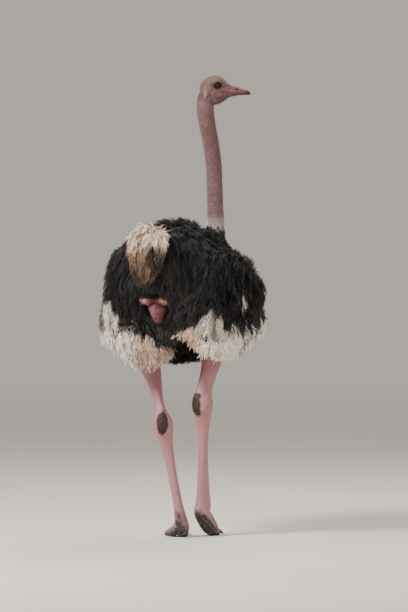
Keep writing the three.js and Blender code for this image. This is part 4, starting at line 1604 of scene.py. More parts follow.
    def lash(self, side: Side, finish: Material) -> Thing:
        """Grows the lashes of one upper lid."""
        turn = np.radians(np.linspace(-66.0, 74.0, self.lashes))
        outward = HEAD_LEFT * side.value
        wide, high = self.face.lid_wide + 0.6, self.face.lid_high + 0.6
        ahead, up = wide * np.sin(turn), high * np.cos(turn)
        proud = np.sqrt((EYE_RADIUS + 1.8) ** 2 - ahead**2 - up**2) + EYE_SPREAD
        middle = np.array(EYES_MIDDLE)
        roots = middle + AHEAD * ahead[:, None] + UP * up[:, None] + outward * proud[:, None]
        fan = AHEAD * (0.75 * np.sin(turn))[:, None] + UP * (0.5 * np.cos(turn))[:, None]
        long = 12.0 - 4.0 * np.abs(np.sin(turn))
        sizes = {"Length": 1.0, "Width": self.lash_width, "Spread": self.lash_spread, "Seed": 5 + side.value}
        lie = fan + outward * 0.8
        thing = BristleTree("lashes", finish).grow(f"lashes_{side.word}", roots, lie, long, **sizes)
        store(thing, "hue", np.full((len(thing.data.vertices), 3), 0.006))
        return thing


# ---------------------------------------------------------------- plumage

PLUME_ROWS = {
    Side.LEFT: (
        (326, -112, 1000, 14, 34),
        (340, -20, 990, 30, 76),
        (330, 80, 975, 40, 92),
        (284, 172, 962, 40, 83),
        (212, 246, 932, 38, 82),
        (128, 270, 892, 36, 88),
        (52, 246, 866, 30, 92),
        (-38, 188, 872, 12, 30),
    ),
    Side.RIGHT: (
        (-326, -150, 1005, 14, 36),
        (-342, -70, 996, 30, 60),
        (-334, 40, 980, 38, 84),
        (-292, 148, 944, 42, 112),
        (-220, 226, 932, 40, 96),
        (-140, 262, 960, 36, 48),
        (-74, 276, 964, 24, 36),
        (-36, 276, 964, 9, 17),
    ),
}
FANS = {Side.LEFT: (318, -80, 1085), Side.RIGHT: (-232, 190, 1075)}  # where the white plumes spread from
WHITE_EDGES = {  # how far to the right, and up to what height the white plumes reach there
    Side.LEFT: ((-300, -264, -160, -80, -30), (955, 938, 926, 902, 868)),
    Side.RIGHT: ((-32, 91, 136, 177, 205, 262, 300, 352), (934, 1012, 1062, 1009, 968, 936, 950, 985)),
}
# places along Y, and the height of a wing's top there
WING_RIDGE = ((-350, -215, -60, 80, 195, 276), (1168, 1248, 1283, 1302, 1277, 1210))
TAIL = Limb(
    rows=(
        (-10, 336, 1345, 56, 30),
        (-12, 378, 1392, 80, 35),
        (-12, 414, 1382, 92, 41),
        (-8, 436, 1322, 92, 43),
        (0, 444, 1260, 80, 40),
        (13, 444, 1208, 46, 30),
        (22, 442, 1168, 14, 12),
    ),
)


def towards(way: Array, normals: Array) -> Array:
    """Directions laid along a surface, but left free where they lead straight off its edge."""
    over = np.sum(way * normals, axis=1, keepdims=True)
    return unit(way - normals * over * ramp(over, 0.95, 0.45))


@dataclass(frozen=True)
class Barbs:
    """The loose barbs on both sides of a plume's shaft."""

    per_side: int = 13
    length: float = 62.0
    width: float = 2.6
    angle: float = 40.0  # off the shaft, in degrees
    stray: float = 0.14  # how far each barb goes its own way
    droop: float = 0.1
    close: float = 0.45  # how far tips turn back to the shaft
    curl: float = 0.16  # how far neighbouring barbs stray together
    pieces: int = 2  # straight lengths in a barb
    shaft: float = 1.5


def strands(paths: Array, widths: Array, normals: Array) -> tuple[Array, Array]:
    """Closed three-sided strips that taper to a point.

    Args:
        paths: M strips of R + 1 places, from root to tip.
        widths: half width at the first R places.
        normals: which way each strip faces, M by 3.

    Returns:
        Points and triangles.
    """
    count, rings = paths.shape[0], paths.shape[1] - 1
    way = unit(paths[:, 1:] - paths[:, :-1])
    aside = unit(np.cross(normals[:, None, :], way))
    ridge = np.cross(way, aside)
    middle, half = paths[:, :-1], widths[..., None]
    ring = np.stack([middle - aside * half, middle + aside * half, middle + ridge * half * 0.7], 2)
    points = np.concatenate([ring.reshape(count, -1, 3), paths[:, -1:]], 1)
    faces = [(0, 2, 1)]
    for k in range(rings):
        for a, b in ((0, 1), (1, 2), (2, 0)):
            a, b = 3 * k + a, 3 * k + b
            faces += [(a, b, b + 3), (a, b + 3, a + 3)] if k < rings - 1 else [(a, b, 3 * rings)]
    step = (np.arange(count) * (3 * rings + 1))[:, None, None]
    return points.reshape(-1, 3), (np.array(faces)[None] + step).reshape(-1, 3)


@dataclass
class Bed:
    """A surface with one kind of plume on it.

    Attributes:
        limb: the form whose surface the plumes cover.
        spacing: distance between roots.
        length: a plume's length.
        flow: gives the way that plumes lie at each place.
        colour: gives root and tip colours at each place, with a random number for each plume.
        keep: tells where plumes grow.
        barbs: the barbs of each plume.
        depth: how far inside the form a root lies.
        proud: how far outside it a tip may stand.
        wild: share of barbs that stand out further.
        rag: how much further whole locks may reach than their neighbours.
        seed: random seed.
        knots: places along a shaft.
        span: the share of the limb that is covered.
        lie: the form that the plumes lie on, where it isn't the limb alone.
    """

    limb: Limb
    spacing: float
    length: float
    flow: Measure
    colour: Callable[[Array, Array], tuple[Array, Array]]
    keep: Measure
    barbs: Barbs
    depth: float = 34.0
    proud: float = -6.0
    wild: float = 0.04
    rag: float = 7.0
    seed: int = 1
    knots: int = 6
    span: tuple[float, float] = (0.0, 1.0)
    lie: Measure | None = None

    def __post_init__(self) -> None:
        """Starts the random numbers."""
        self.random = np.random.default_rng(self.seed)

    def roots(self) -> tuple[Array, Array]:
        """Places and turns spread evenly over the form, with some disorder."""
        last = self.limb.last
        fine = np.linspace(self.span[0] * last, self.span[1] * last, 240)
        edges = [self.limb.skin(fine, np.full(240, turn)) for turn in (0.0, 1.57, 3.14, 4.71)]
        run = np.cumsum(np.mean([np.linalg.norm(np.diff(edge, axis=0), axis=1) for edge in edges], 0))
        run = np.concatenate([[0.0], run])
        places, turns = [], []
        around = np.linspace(0.0, 2 * math.pi, 73)
        for row in np.arange(self.spacing * 0.4, run[-1], self.spacing * 0.87):
            place = float(np.interp(row, run, fine))
            ring = self.limb.skin(np.full(73, place), around)
            arc = np.concatenate([[0.0], np.cumsum(np.linalg.norm(np.diff(ring, axis=0), axis=1))])
            count = max(2, round(arc[-1] / self.spacing))
            spots = (np.arange(count) + self.random.random() + 0.5 * self.random.random(count)) / count
            turns.append(np.interp(spots % 1.0 * arc[-1], arc, around))
            shift = self.random.uniform(-0.35, 0.35, count) * self.spacing
            places.append(np.interp(row + shift, run, fine))
        return np.concatenate(places), np.concatenate(turns)

    def path(self, roots: Array, lengths: Array, lean: Array) -> tuple[Array, Array, Array, Array]:
        """Shafts that follow the flow over the form.

        Args:
            roots: where the shafts start.
            lengths: each shaft's length.
            lean: each shaft's own turn off the flow.

        Returns:
            At each knot its place, the way outwards, the distance outside and how steep that is.
        """
        shape = self.lie or self.limb.distance
        here = roots
        layer = 22.0 * lean[:, 0]
        path, ways, outside, slopes = [], [], [], []
        for knot in range(self.knots):
            value, rise = slope(shape, here, 1.5)
            steep = np.clip(np.linalg.norm(rise, axis=1), 0.6, 8.0)
            normal, value = unit(rise), value / steep
            slopes.append(steep)
            share = (knot + 1) / (self.knots - 1)
            wanted = -self.depth * (1 - min(share, 1.0)) ** 0.8 + self.proud * min(share, 1.0) + layer
            path.append(here)
            ways.append(normal)
            outside.append(value)
            way = self.flow(here) + lean
            free = np.sum(unit(way) * normal, axis=1)
            way = towards(unit(way), normal)
            step = (lengths / (self.knots - 1))[:, None]
            climb = np.clip((wanted - value)[:, None], -0.6 * step, 0.6 * step)
            climb = climb * ramp(free, 0.9, 0.4)[:, None]
            here = here + way * step + normal * climb
        return np.stack(path, 1), np.stack(ways, 1), np.stack(outside, 1), np.stack(slopes, 1)[..., None]

    def grow(self, most: int = 190000) -> list[Coat]:
        """Grows the plumes with their shafts and barbs, in parts of at most so many triangles."""
        random = self.random
        places, turns = self.roots()
        roots = self.limb.skin(places, turns, self.depth)
        keep = self.keep(roots)
        roots, places, turns = roots[keep], places[keep], turns[keep]
        count = len(roots)
        longer = 1.0 + 0.25 * lumps(roots, self.length * 0.6, 43)
        lengths = self.length * random.uniform(0.75, 1.2, count) * longer
        lean = random.normal(0.0, 0.16, (count, 3))
        path, _, outside, _ = self.path(roots, lengths, lean)
        bare = vent_zone(path.reshape(-1, 3)).reshape(count, -1) > 0
        stop = (outside > self.proud + 10.0) | (bare & ~bare[:, :1])
        stop[:, 0] = False
        first = np.where(stop.any(1), stop.argmax(1), self.knots)
        lengths = lengths * np.clip((first - 0.4) / (self.knots - 1), 0.2, 1.0)
        path, ways, _, slopes = self.path(roots, lengths, lean)
        _, spot, a, b = self.limb.local(path.reshape(-1, 3))
        wrap = np.stack([spot / self.limb.last, np.cos(np.arctan2(b, a)), np.sin(np.arctan2(b, a))], -1)
        wrap = wrap.reshape(count, -1, 3)
        luck = random.random(count)
        each = 16 + self.barbs.per_side * 2 * (6 * self.barbs.pieces - 2)
        groups = np.array_split(np.argsort(roots[:, 1]), math.ceil(count * each / most))
        coats = []
        for group in groups:
            coat = Coat()
            self.shafts(coat, path[group], ways[group], wrap[group], luck[group])
            extra = np.concatenate([slopes[group], wrap[group]], -1)
            self.add_barbs(coat, path[group], ways[group], extra, luck[group], lengths[group])
            coats.append(coat)
        return coats

    def shafts(self, coat: Coat, path: Array, ways: Array, wrap: Array, luck: Array) -> None:
        """Adds a slim shaft to each plume."""
        pick = [0, 2, 4, self.knots - 1]
        widths = np.tile(np.array([1.0, 0.75, 0.45]) * self.barbs.shaft / 2, (len(path), 1))
        hue = self.colour(path[:, 2], luck)[0] * 0.8
        coat.add(path[:, pick], widths, ways[:, 2], wrap[:, 2], hue, hue, np.zeros(len(path)))

    def add_barbs(
        self, coat: Coat, path: Array, ways: Array, extra: Array, luck: Array, lengths: Array
    ) -> None:
        """Adds the barbs on both sides of each shaft.

        Args:
            coat: gathers the barbs.
            path: the shafts' knots.
            ways: the way outwards at each knot.
            extra: steepness and wrap at each knot.
            luck: a random number for each plume.
            lengths: each shaft's length.
        """
        random, barbs = self.random, self.barbs
        count = len(path)
        each = barbs.per_side * 2
        sign = np.tile([1.0, -1.0], (count, barbs.per_side)).reshape(-1)
        rank = np.repeat(np.arange(barbs.per_side), 2)[None] + random.random((count, each))
        spot = (0.06 + 0.94 * rank / barbs.per_side).clip(0, 1).reshape(-1)
        plume = np.repeat(np.arange(count), each)
        knot = np.minimum((spot * (self.knots - 1)).astype(int), self.knots - 2)
        part = (spot * (self.knots - 1) - knot)[:, None]

        def at(values: Array) -> Array:
            """Values where the barbs start."""
            return between(values[plume, knot], values[plume, knot + 1], part)

        start, normal = at(path), unit(at(ways))
        along = unit(path[plume, knot + 1] - path[plume, knot])
        aside = unit(np.cross(along, normal)) * sign[:, None]
        angle = np.radians(barbs.angle * random.uniform(0.6, 1.3, len(spot)) * (1 - 0.65 * spot**2))
        short = np.clip(lengths[plume] / self.length, 0.5, 1.1)
        reach = barbs.length * short * random.uniform(0.7, 1.2, len(spot)) * (1.0 - 0.35 * spot**3)
        stray = random.normal(0.0, barbs.stray, (len(spot), 3)) + self.curl(start)
        fluff = random.uniform(-0.06, 0.16, len(spot))
        moves = []
        for share in np.linspace(0.0, 1.0, barbs.pieces + 1):
            forward = (np.cos(angle) * share + 0.35 * share**2 * (1 - np.cos(angle)))[:, None]
            outward = (np.sin(angle) * (share - barbs.close * share**2))[:, None]
            move = along * forward + aside * outward + normal * (fluff * share)[:, None]
            moves.append(move + stray * share**2 - UP * barbs.droop * share**2)
        extra = at(extra)
        outside = (self.lie or self.limb.distance)(start + moves[-1] * reach[:, None]) / extra[:, 0]
        stretch = random.uniform(0.0, 7.0, len(spot)) + 12.0 * (random.random(len(spot)) < self.wild)
        stretch += self.rag * (lumps(start, self.length * 0.3, 47) * 1.6 + 0.2)
        over = outside - self.proud - stretch
        reach = reach * np.clip(1.0 - 1.1 * np.maximum(over, 0.0) / reach, 0.25, 1.0)
        bare = ramp(vent_zone(start + moves[-1] * reach[:, None]), -0.12, 0.12)
        reach = reach * (1.0 - 0.8 * bare)
        rows = [start + move * reach[:, None] for move in moves]
        widths = np.array([0.75, 1.0, 0.8, 0.6])[: barbs.pieces] * barbs.width / 2
        widths = widths[None] * random.uniform(0.75, 1.25, (len(spot), 1))
        tint = random.uniform(0.75, 1.25, (len(spot), 1))
        middle = start + 0.6 * moves[-1] * reach[:, None]
        root, tip = self.colour(0.2 * path[plume, 0] + 0.8 * middle, luck[plume])
        coat.add(np.stack(rows, 1), widths, normal, extra[:, 1:], root * tint, tip * tint, spot)

    def curl(self, places: Array) -> Array:
        """How neighbouring barbs stray together, which parts the plumage into locks."""
        size = self.length * 0.5
        return self.barbs.curl * np.stack([lumps(places, size, seed) for seed in (31, 37, 41)], -1)


@dataclass
class Coat:
    """Strips gathered for one piece of plumage, with their colours and places on the map."""

    points: list[Array] = field(default_factory=list)
    faces: list[Array] = field(default_factory=list)
    hue: list[Array] = field(default_factory=list)
    along: list[Array] = field(default_factory=list)
    flat: list[Array] = field(default_factory=list)
    total: int = 0

    def add(
        self, paths: Array, widths: Array, normals: Array, wrap: Array, root: Array, tip: Array, spot: Array
    ) -> None:
        """Adds strips with their colours and their patches on the unwrapped form.

        Args:
            paths: the strips' places, from root to tip.
            widths: half widths along them.
            normals: which way each strip faces.
            wrap: share along the form, and cosine and sine of the turn round it.
            root: each strip's colour at its root.
            tip: its colour at its tip.
            spot: how far along its plume it starts, from 0 to 1.
        """
        points, faces = strands(paths, widths, normals)
        rings = paths.shape[1] - 1
        share = np.append(np.repeat(np.arange(rings) / rings, 3), 1.0)[None, :, None]
        self.points.append(points)
        self.faces.append(faces + self.total)
        self.total += len(points)
        self.hue.append(between(root[:, None], tip[:, None], share).reshape(-1, 3))
        self.along.append((0.5 * share[..., 0] + 0.5 * spot[:, None]).reshape(-1))
        turn = np.arctan2(wrap[:, 2], wrap[:, 1]) / (2 * math.pi) % 1.0
        middle = np.stack([wrap[:, 0], turn], -1).clip(0.002, 0.998)
        across = np.append(np.tile([-0.5, 0.5, 0.0], rings), 0.0)[None]
        patch = np.stack(np.broadcast_arrays(share[..., 0] - 0.5, across), -1) * 0.003
        self.flat.append((middle[:, None] + patch).reshape(-1, 2))

    def build(self, name: str) -> Thing:
        """Makes the piece's mesh with its colours and its map."""
        thing = mesh_object(name, np.concatenate(self.points), np.concatenate(self.faces))
        store(thing, "hue", np.concatenate(self.hue))
        store(thing, "along", np.concatenate(self.along))
        lay_flat(thing, np.concatenate(self.flat))
        return thing


def lay_flat(thing: Thing, flat: Array) -> None:
    """Gives a mesh its OFBake map from one place for each point."""
    corner = np.empty(len(thing.data.loops), dtype=np.int32)
    thing.data.loops.foreach_get("vertex_index", corner)
    layer = thing.data.uv_layers.new(name="OFBake")
    layer.uv.foreach_set("vector", flat[corner].astype(np.float32).ravel())


def vent_zone(points: Array) -> Array:
    """Above 0 in the bare place under the tail."""
    wide = 74.0 - 38.0 * ramp(points[:, 2], 1056.0, 985.0)
    share = np.sqrt(((points[:, 0] - VENT_X) / wide) ** 2 + ((points[:, 2] - 1052.0) / 66.0) ** 2)
    return np.where(points[:, 1] > 180, 1.0 - share, -1.0)


def white_zone(points: Array, side: Side) -> Array:
    """Above 0 where a wing's plumes are white, fading over about 20 mm at the edge."""
    right, height = points @ AHEAD, points[:, 2]
    inside = np.interp(right, *WHITE_EDGES[side]) - height
    if side is Side.LEFT:
        streak = np.minimum((-316 + 0.3 * (1072 - height)) - right, 1078 - height)
        return np.maximum(streak, inside) + 14 * lumps(points, 24.0, 71)
    ragged = ramp(right, 140, 200) * 30 * lumps(points * (1, 1, 0.35), 16.0, 73)
    return inside + ragged + 8 * lumps(points, 20.0, 75)


@dataclass
class Plumage:
    """All the plumes: black body and wings, white wing plumes, tail and the neck's foot."""

    wings: dict[Side, Limb] = field(default_factory=lambda: {side: wing_limb(side) for side in Side})
    legs: dict[Side, Limb] = field(default_factory=lambda: {side: Leg(side).shank for side in Side})
    front: float = -486.0  # where the form under the plumes ends in front

    def nearest(self, limbs: dict[Side, Limb], points: Array) -> Array:
        """Signed distance to the nearer of two limbs."""
        return np.minimum(*(limb.distance(points) for limb in limbs.values()))

    def body(self, points: Array) -> Array:
        """Signed distance to trunk and wings together."""
        form = TRUNK.distance(points)
        for side in Side:
            form = join(form, self.wings[side].distance(points), 64.0)
        x, y, z = points.T
        form = form - 12.0 * bell(x, -238, 62) * bell(y, 10, 140) * bell(z, 1280, 42)
        form = form - 7.0 * bell(x, 262, 60) * bell(y, 60, 170) * bell(z, 1240, 70)
        return np.maximum(form, self.front - y)

    def black(self, points: Array, luck: Array) -> tuple[Array, Array]:
        """Black plumes, some rusty or grey; their lighter tips are partly the feathers' own grey and partly
        painted highlight.
        """
        grey = (0.55 * ramp(luck, 0.62, 0.98) + 0.45 * ramp(lumps(points, 46.0, 51), 0.1, 0.8))[:, None]
        root = np.array([0.0075, 0.007, 0.0075]) + grey * np.array([0.012, 0.010, 0.009])
        # tips lighter than roots: partly the feathers' own grey, partly painted highlight
        tip = np.array([0.013, 0.012, 0.013]) + grey * np.array([0.062, 0.053, 0.05])
        rust = bell(points @ AHEAD, 282, 22) * bell(points[:, 2], 1236, 24) * (points[:, 0] < 0)
        tip = tip + rust[:, None] * np.array([0.05, 0.018, 0.014])
        tuft = bell(points @ AHEAD, -92, 15) * bell(points[:, 2], 944, 24)
        tip = tip + tuft[:, None] * np.array([0.13, 0.075, 0.045])
        return root, tip

    def trunk(self) -> Bed:
        """Black plumes over the trunk."""

        def flow(points: Array) -> Array:
            """Backwards and down, but straight down over the breast and closing in under the tail."""
            x, y, z = points.T
            off = x - VENT_X
            chest = ramp(y, -330, -430)
            down = -0.25 - 0.9 * ramp(y, 40, 330) - 0.5 * ramp(np.abs(x), 60, 260) - 0.9 * chest
            aside = 0.3 * ramp(np.abs(x), 0, 120) + 0.55 * ramp(np.abs(x), 110, 200) * ramp(z, 1130, 1230)
            under = ramp(y, 215, 320) * ramp(z, 1190, 1090)
            closing = under * ramp(z, 1035, 985) * np.clip(-off / 40, -1, 1) * ramp(np.abs(off), 130, 80)
            back = 1.0 - 1.9 * under - 0.9 * chest
            return np.stack([aside * np.sign(x) * (1 - under) + 0.8 * closing, back, down], -1)

        def keep(points: Array) -> Array:
            """Not deep in wings, legs or neck, and not round the vent."""
            wings, legs = self.nearest(self.wings, points), self.nearest(self.legs, points)
            clear = (vent_zone(points) < -0.08) | (points[:, 2] < 1008)
            return (wings > -44) & (legs > -25) & clear & (NECK.distance(points) > -60)

        def colour(points: Array, luck: Array) -> tuple[Array, Array]:
            """Black, and the right wing's colours where its plumes run on over the flank."""
            plain, marked = self.black(points, luck), self.wing_hue(Side.RIGHT, points, luck)
            x, y, z = points.T
            on = (ramp(x, -130, -165) * ramp(y, 60, 120) * ramp(z, 975, 1000))[:, None]
            return between(plain[0], marked[0], on), between(plain[1], marked[1], on)

        barbs = Barbs(per_side=14, length=66, width=2.8)
        return Bed(TRUNK, 32.0, 125.0, flow, colour, keep, barbs, proud=-2.0, seed=3, lie=self.body)

    def wing(self, side: Side) -> Bed:
        """Black plumes over a folded wing, longest at its lower edge."""

        def flow(points: Array) -> Array:
            """Backwards and down, flatter along the wing's ridge."""
            _, y, z = points.T
            ridge = np.interp(y, *WING_RIDGE)
            ridge = ramp(z, ridge - 110, ridge - 50) * ramp(y, 200, 100)
            back = 0.75 - 0.35 * ramp(y, 0, 250) + 0.25 * ridge
            return np.stack([-0.25 * side.value * ramp(y, 100, 300), back, 0.6 * ridge - 0.85], -1)

        def keep(points: Array) -> Array:
            """Not deep in the trunk, and not round the vent."""
            return (TRUNK.distance(points) > -38) & (vent_zone(points) < -0.05)

        barbs = Barbs(per_side=14, length=62, width=2.8)
        sizes = {"depth": 26.0, "proud": -2.0, "seed": 5 + side.value}
        colour = partial(self.wing_hue, side)
        return Bed(self.wings[side], 30.0, 118.0, flow, colour, keep, barbs, lie=self.body, **sizes)

    def whites(self, side: Side) -> Bed:
        """Long white plumes that hang from under a wing."""
        limb = Limb(PLUME_ROWS[side], Rings.STANDING)

        def flow(points: Array) -> Array:
            """Away from the fan's middle, and down."""
            away = unit(points - np.array(FANS[side]))
            return unit(away * 0.75 + np.array([0.0, 0.0, -0.55]))

        def keep(points: Array) -> Array:
            """Not deep in trunk or wing."""
            return (TRUNK.distance(points) > -42) & (self.wings[side].distance(points) > -30)

        barbs = Barbs(20, 74, 3.5, 34, stray=0.2, droop=0.16, close=0.62, curl=0.3, pieces=3, shaft=2.2)
        sizes = {"depth": 20.0, "proud": -8.0, "rag": 10.0, "seed": 11 + side.value}
        return Bed(limb, 27.0, 150.0, flow, partial(self.wing_hue, side), keep, barbs, **sizes)

    def wing_hue(self, side: Side, points: Array, luck: Array) -> tuple[Array, Array]:
        """Black and white of a wing and the plumes under it.

        Args:
            side: which wing.
            points: places on the plumes.
            luck: a random number for each plume.

        Returns:
            The colours of roots and tips.
        """
        right, height = points @ AHEAD, points[:, 2]
        hue = Paint(points, (0.96, 0.87, 0.78))
        dark, dark_tip = self.black(points, luck)
        # painted light: the white plumes far to the right are lightened as if sunlit, with less cream and
        # brown there
        painted_light = 0.8 * ramp(right, 150, 190)
        if side is Side.LEFT:
            hue.mix((0.62, 0.44, 0.335), ramp(right, -262, -190))
            hue.mix((0.4, 0.29, 0.21), 0.7 * (luck > 0.82))
            patch = bell(right, -240, 26) * bell(height, 968, 40)
            dark = dark + np.array([0.12, 0.1, 0.09]) * patch[:, None]
            dark_tip = dark_tip + np.array([0.2, 0.17, 0.15]) * patch[:, None]
        else:
            hue.mix((0.66, 0.42, 0.29), ramp(right, 110, 30))
            # painted shadow band across the white plumes
            shade = 0.85 * bell(right, 152 + 0.1 * (950 - height), 15) * ramp(height, 880, 925)
            hue.mix((0.19, 0.15, 0.13), shade)
            hue.mix((0.6, 0.47, 0.38), 0.55 * (luck > 0.7) * (1 - painted_light))
        # brown lumps: partly the plumes' own stains, partly painted shade between locks
        stain_and_shade = ramp(lumps(points * (1, 1, 0.5), 20.0, 99), 0.1, 0.6)
        hue.mix((0.4, 0.31, 0.25), 0.45 * stain_and_shade * (1 - painted_light))
        white = ramp(white_zone(points, side), -6, 8)
        if side is Side.LEFT:
            white *= 1 - 0.9 * ramp(right, -344, -354) * ramp(height, 928, 965) * (luck > 0.22)
            white *= ramp(points[:, 1], -190, -100)
        else:
            streak = bell(right, 282 + 0.25 * (1060 - height), 15) * bell(height, 1078, 38)
            wisp = lumps(points * (1, 1, 0.2), 11.0, 79) > -0.02
            white = np.maximum(white, ramp(streak, 0.25, 0.45) * wisp)
            gap = lumps(points * (1, 1, 0.2), 15.0, 77) > 0.32
            white = white * (1 - 0.8 * ramp(right, 232, 280) * gap)
        white = white[:, None]
        # painted shade and highlight: roots darker and tips lighter than the plumes' colour, for shadows
        # between locks and lit tips
        root = hue.colour * (0.78 + 0.3 * painted_light[:, None])
        return between(dark, root, white), between(dark_tip, hue.colour * 1.16, white)

    def tail(self) -> Bed:
        """The short curled tail, cream above and brown below."""

        def flow(points: Array) -> Array:
            """Down, and backwards along the top."""
            x, _, z = points.T
            return np.stack([0.25 * x / 100, 0.55 * ramp(z, 1330, 1400), -0.3 - ramp(z, 1400, 1330)], -1)

        def keep(points: Array) -> Array:
            """Not deep in the trunk."""
            return TRUNK.distance(points) > -40

        def form(points: Array) -> Array:
            """The tail with a hollow at its right and a ragged edge."""
            hollow = bell(points @ AHEAD, -116, 26) * bell(points[:, 2], 1278, 32)
            fringe = 7.0 * lumps(points, 34.0, 93) + 4.0
            return TAIL.distance(points) + 16.0 * hollow * ramp(points[:, 1], 400, 440) + fringe

        def colour(points: Array, luck: Array) -> tuple[Array, Array]:
            """Cream above, brown and darker towards the bottom, with painted shade in the hollow."""
            right, height = points @ AHEAD, points[:, 2]
            hue = Paint(points, (0.96, 0.78, 0.62))
            edge = 1356 - 14 * ramp(right, -150, -190) + 18 * lumps(points, 24.0, 95)
            hue.mix((0.22, 0.115, 0.064), 0.92 * ramp(height, edge, edge - 42))
            hue.mix((0.042, 0.02, 0.011), 0.92 * ramp(height, 1296, 1222))
            streaks = ramp(lumps(points * (1, 1, 0.4), 15.0, 97), 0.1, 0.5)
            hue.mix((0.32, 0.19, 0.115), 0.6 * ramp(height, 1300, 1260) * streaks)
            # painted shade: near-black in the hollow at the tail's right
            hollow = bell(right, -119, 33) * bell(height, 1286, 44)
            hue.mix((0.018, 0.009, 0.006), 0.96 * ramp(hollow, 0.12, 0.32))
            hue.mix((0.3, 0.18, 0.11), 0.6 * (luck > 0.76) * ramp(height, 1255, 1300))
            # painted shade and highlight: roots darker and tips lighter than the plumes' colour
            return hue.colour * 0.8, hue.colour * 1.12

        barbs = Barbs(14, 52, 3.0, 34, stray=0.24, droop=0.16, close=0.6, curl=0.42, pieces=3, shaft=2.0)
        sizes = {"depth": 16.0, "proud": -3.0, "wild": 0.1, "rag": 12.0, "seed": 17}
        return Bed(TAIL, 23.0, 96.0, flow, colour, keep, barbs, lie=form, **sizes)

    def neck_foot(self) -> Bed:
        """Short plumes where the neck meets the body, with a pale ring at their top."""

        def flow(points: Array) -> Array:
            """Straight down, a little backwards."""
            return np.tile([0.0, 0.1, -1.0], (len(points), 1))

        def keep(points: Array) -> Array:
            """Below a wavy edge, and not deep in the trunk."""
            edge = 1424 + 7 * lumps(points, 20.0, 61)
            return (points[:, 2] < edge) & (TRUNK.distance(points) > -20)

        def colour(points: Array, luck: Array) -> tuple[Array, Array]:
            """Black with a pale ring above."""
            root, tip = self.black(points, luck)
            ring = ramp(points[:, 2] + 14 * (luck - 0.5), 1384, 1396)[:, None]
            return between(root, 0.5, ring), between(tip, np.array([0.72, 0.69, 0.66]), ring)

        barbs = Barbs(per_side=6, length=22, width=1.5, shaft=0.9, angle=32)
        limb = Limb(NECK.rows, samples=240)
        sizes = {"depth": 5.0, "proud": -1.0, "seed": 23, "span": (0.0, 0.36)}
        return Bed(limb, 11.5, 42.0, flow, colour, keep, barbs, **sizes)

    def build(self) -> None:
        """Makes every piece of plumage and dresses it."""
        black = FeatherFinish("black_plumes", (0.07, 0.058, 0.05), 0.0, 0.08).material()
        white = FeatherFinish("white_plumes", (0.86, 0.8, 0.72), 0.0, 0.12).material()
        tan = FeatherFinish("tail_plumes", (0.74, 0.62, 0.48), 0.06, 0.12).material()
        self.piece("plumage_body", self.trunk(), black, "black_feather", "trunk")
        for side in Side:
            word, nodes = side.word, (f"wing_{side.word}", f"wing_plumes_{side.word}")
            self.piece(f"plumage_wing_{word}", self.wing(side), black, "black_feather", nodes[0])
            self.piece(f"white_plumes_{word}", self.whites(side), white, "white_feather", nodes[1])
        self.piece("tail_plumes", self.tail(), tan, "tail_feather", "tail")
        self.piece("plumage_neck", self.neck_foot(), black, "black_feather")

    def piece(self, name: str, bed: Bed, finish: Material, slot: str, *nodes: str) -> None:
        """Grows one bed, in as many pieces as its size needs."""
        coats = bed.grow()
        for number, coat in enumerate(coats):
            thing = coat.build(f"{name}_{number + 1}" if len(coats) > 1 else name)
            dress(thing, finish, slot, *nodes)


# ---------------------------------------------------------------- studio


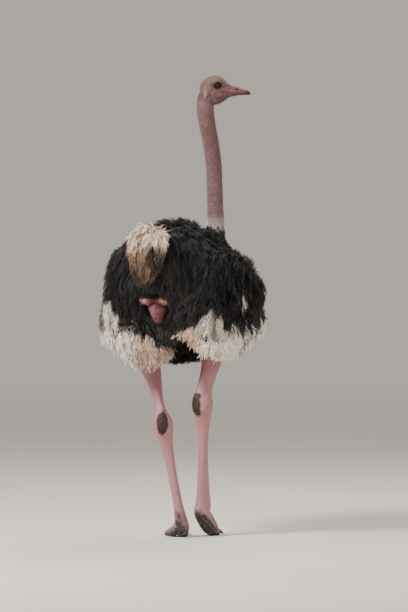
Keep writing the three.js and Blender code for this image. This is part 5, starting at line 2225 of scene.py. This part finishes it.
@dataclass
class Studio:
    """Pale floor, soft light and the camera."""

    azimuth: float = 202.0
    distance: float = 25.0
    height: float = 2.086
    pitch: float = 2.374
    lens: float = 323.5
    aside: float = 0.100
    reach: float = 60.0  # half the floor's side

    def build(self) -> None:
        """Makes the floor, the lights and the camera."""
        self.camera()
        self.floor()
        self.lights()

    def ways(self) -> tuple[Vector, Vector]:
        """Level ways towards the camera and to its right."""
        turn = math.radians(self.azimuth)
        back = Vector((math.sin(turn), -math.cos(turn), 0.0))
        return back, (-back).cross(Vector((0, 0, 1)))

    def camera(self) -> None:
        """Places the camera behind the bird, at the height of its head."""
        back, right = self.ways()
        data = bpy.data.cameras.new("camera")
        data.lens, data.sensor_width = self.lens, 36.0
        camera = new_object("camera", data)
        base = Vector((Place.shift[0], Place.shift[1], 0))
        camera.location = base + back * self.distance + Vector((0, 0, self.height))
        target = base + right * self.aside
        level = (target - camera.location) * Vector((1, 1, 0))
        drop = level.length * math.tan(math.radians(self.pitch))
        self.aim(camera, Vector((level.x, level.y, -drop)))
        data.clip_end = 200.0
        bpy.context.scene.camera = camera

    def aim(self, thing: Thing, way: Vector) -> None:
        """Turns a camera or a light to look along a way."""
        thing.rotation_mode = "QUATERNION"
        thing.rotation_quaternion = way.to_track_quat("-Z", "Y")

    def floor(self) -> None:
        """A wide pale floor that fades out far from the bird."""
        mesh = bpy.data.meshes.new("floor")
        corners = ((-1, -1), (1, -1), (1, 1), (-1, 1))
        mesh.from_pydata([(x * self.reach, y * self.reach, 0) for x, y in corners], [], [(0, 1, 2, 3)])
        floor = new_object("floor", mesh)
        nodes = Nodes("floor")
        cloud = nodes.span(nodes.noise(0.8, 2.0), 0.3, 0.7)
        material = nodes.finish(nodes.blend(cloud, (0.60, 0.555, 0.50), (0.65, 0.60, 0.54)), 0.85)
        away = nodes.add("ShaderNodeVectorMath", operation="LENGTH")
        nodes.link(nodes.place, away.inputs[0])
        fade, clear = nodes.add("ShaderNodeMixShader"), nodes.add("ShaderNodeBsdfTransparent")
        nodes.link(nodes.span(away.outputs["Value"], 2.5, 13.0), fade.inputs["Fac"])
        nodes.link(nodes.shader.outputs[0], fade.inputs[1])
        nodes.link(clear.outputs[0], fade.inputs[2])
        nodes.link(fade.outputs[0], nodes.tree.nodes["Material Output"].inputs["Surface"])
        mesh.materials.append(material)
        floor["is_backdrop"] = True

    def lights(self) -> None:
        """Soft key from the upper left, fill from the right and a pale room."""
        back, right = self.ways()
        self.area("key", back * 3.0 - right * 3.6 + Vector((0, 0, 4.8)), 1.6, 690.0)
        self.area("fill", back * 3.6 + right * 3.4 + Vector((0, 0, 2.2)), 3.5, 90.0)
        self.area("rim", -back * 2.8 + right * 1.6 + Vector((0, 0, 4.4)), 2.5, 150.0)
        world = bpy.data.worlds.new("room")
        world.use_nodes = True
        room = world.node_tree.nodes["Background"].inputs
        room["Color"].default_value = (0.80, 0.74, 0.665, 1)
        room["Strength"].default_value = 0.64
        bpy.context.scene.world = world

    def area(self, name: str, place: Vector, size: float, power: float) -> None:
        """A square light that faces the bird's middle."""
        data = bpy.data.lights.new(name, "AREA")
        data.size, data.energy = size, power
        light = new_object(name, data)
        light.location = place
        self.aim(light, Vector((0, 0, 1.15)) - place)


FLESH = ("head", "neck_lower", "neck_middle", "neck_upper", "vent")
LEG_PARTS = ("thigh", "shank", "tarsus", "toe_main", "toe_outer")
LEG_FLESH = tuple(f"{part}_{side.word}" for part in LEG_PARTS for side in Side)


def main() -> None:
    """Builds the bird and its studio."""
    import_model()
    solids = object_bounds()
    Place.read()
    Studio().build()
    skin = Skin()
    body = skin.build()
    skin.wrinkle(body)
    skin.paint(body)
    dress(body, SkinFinish().material(), "skin", *FLESH, *LEG_FLESH, "trunk")
    horn = HornFinish("bill_horn", 0.56).material()
    bill = Bill(skin.face)
    dress(bill.build(True), horn, "horn", "bill_upper")
    dress(bill.build(False), horn, "horn", "bill_lower")
    wet = EyeFinish().material()
    nail = HornFinish("claw_horn", 0.5).material()
    soft = FeatherFinish("short_down", (0.7, 0.62, 0.56), 0.25, 0.2).material()
    lash = HornFinish("lash", 0.6).material()
    down = Down(skin.face)
    dress(down.build(body, soft), soft, "skin")
    for side in Side:
        dress(down.lash(side, lash), lash, "eye")
        dress(Eye(side).build(), wet, "eye", f"eye_{side.word}")
        dress(Claw(Leg(side)).build(), nail, "claw_horn", f"claw_{side.word}")
    Plumage().build()
    sizes = [[list(corner) for corner in box] for box in (solids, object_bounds())]


if __name__ == "__main__":
    logging.basicConfig(level=logging.INFO, format="%(message)s")
    main()
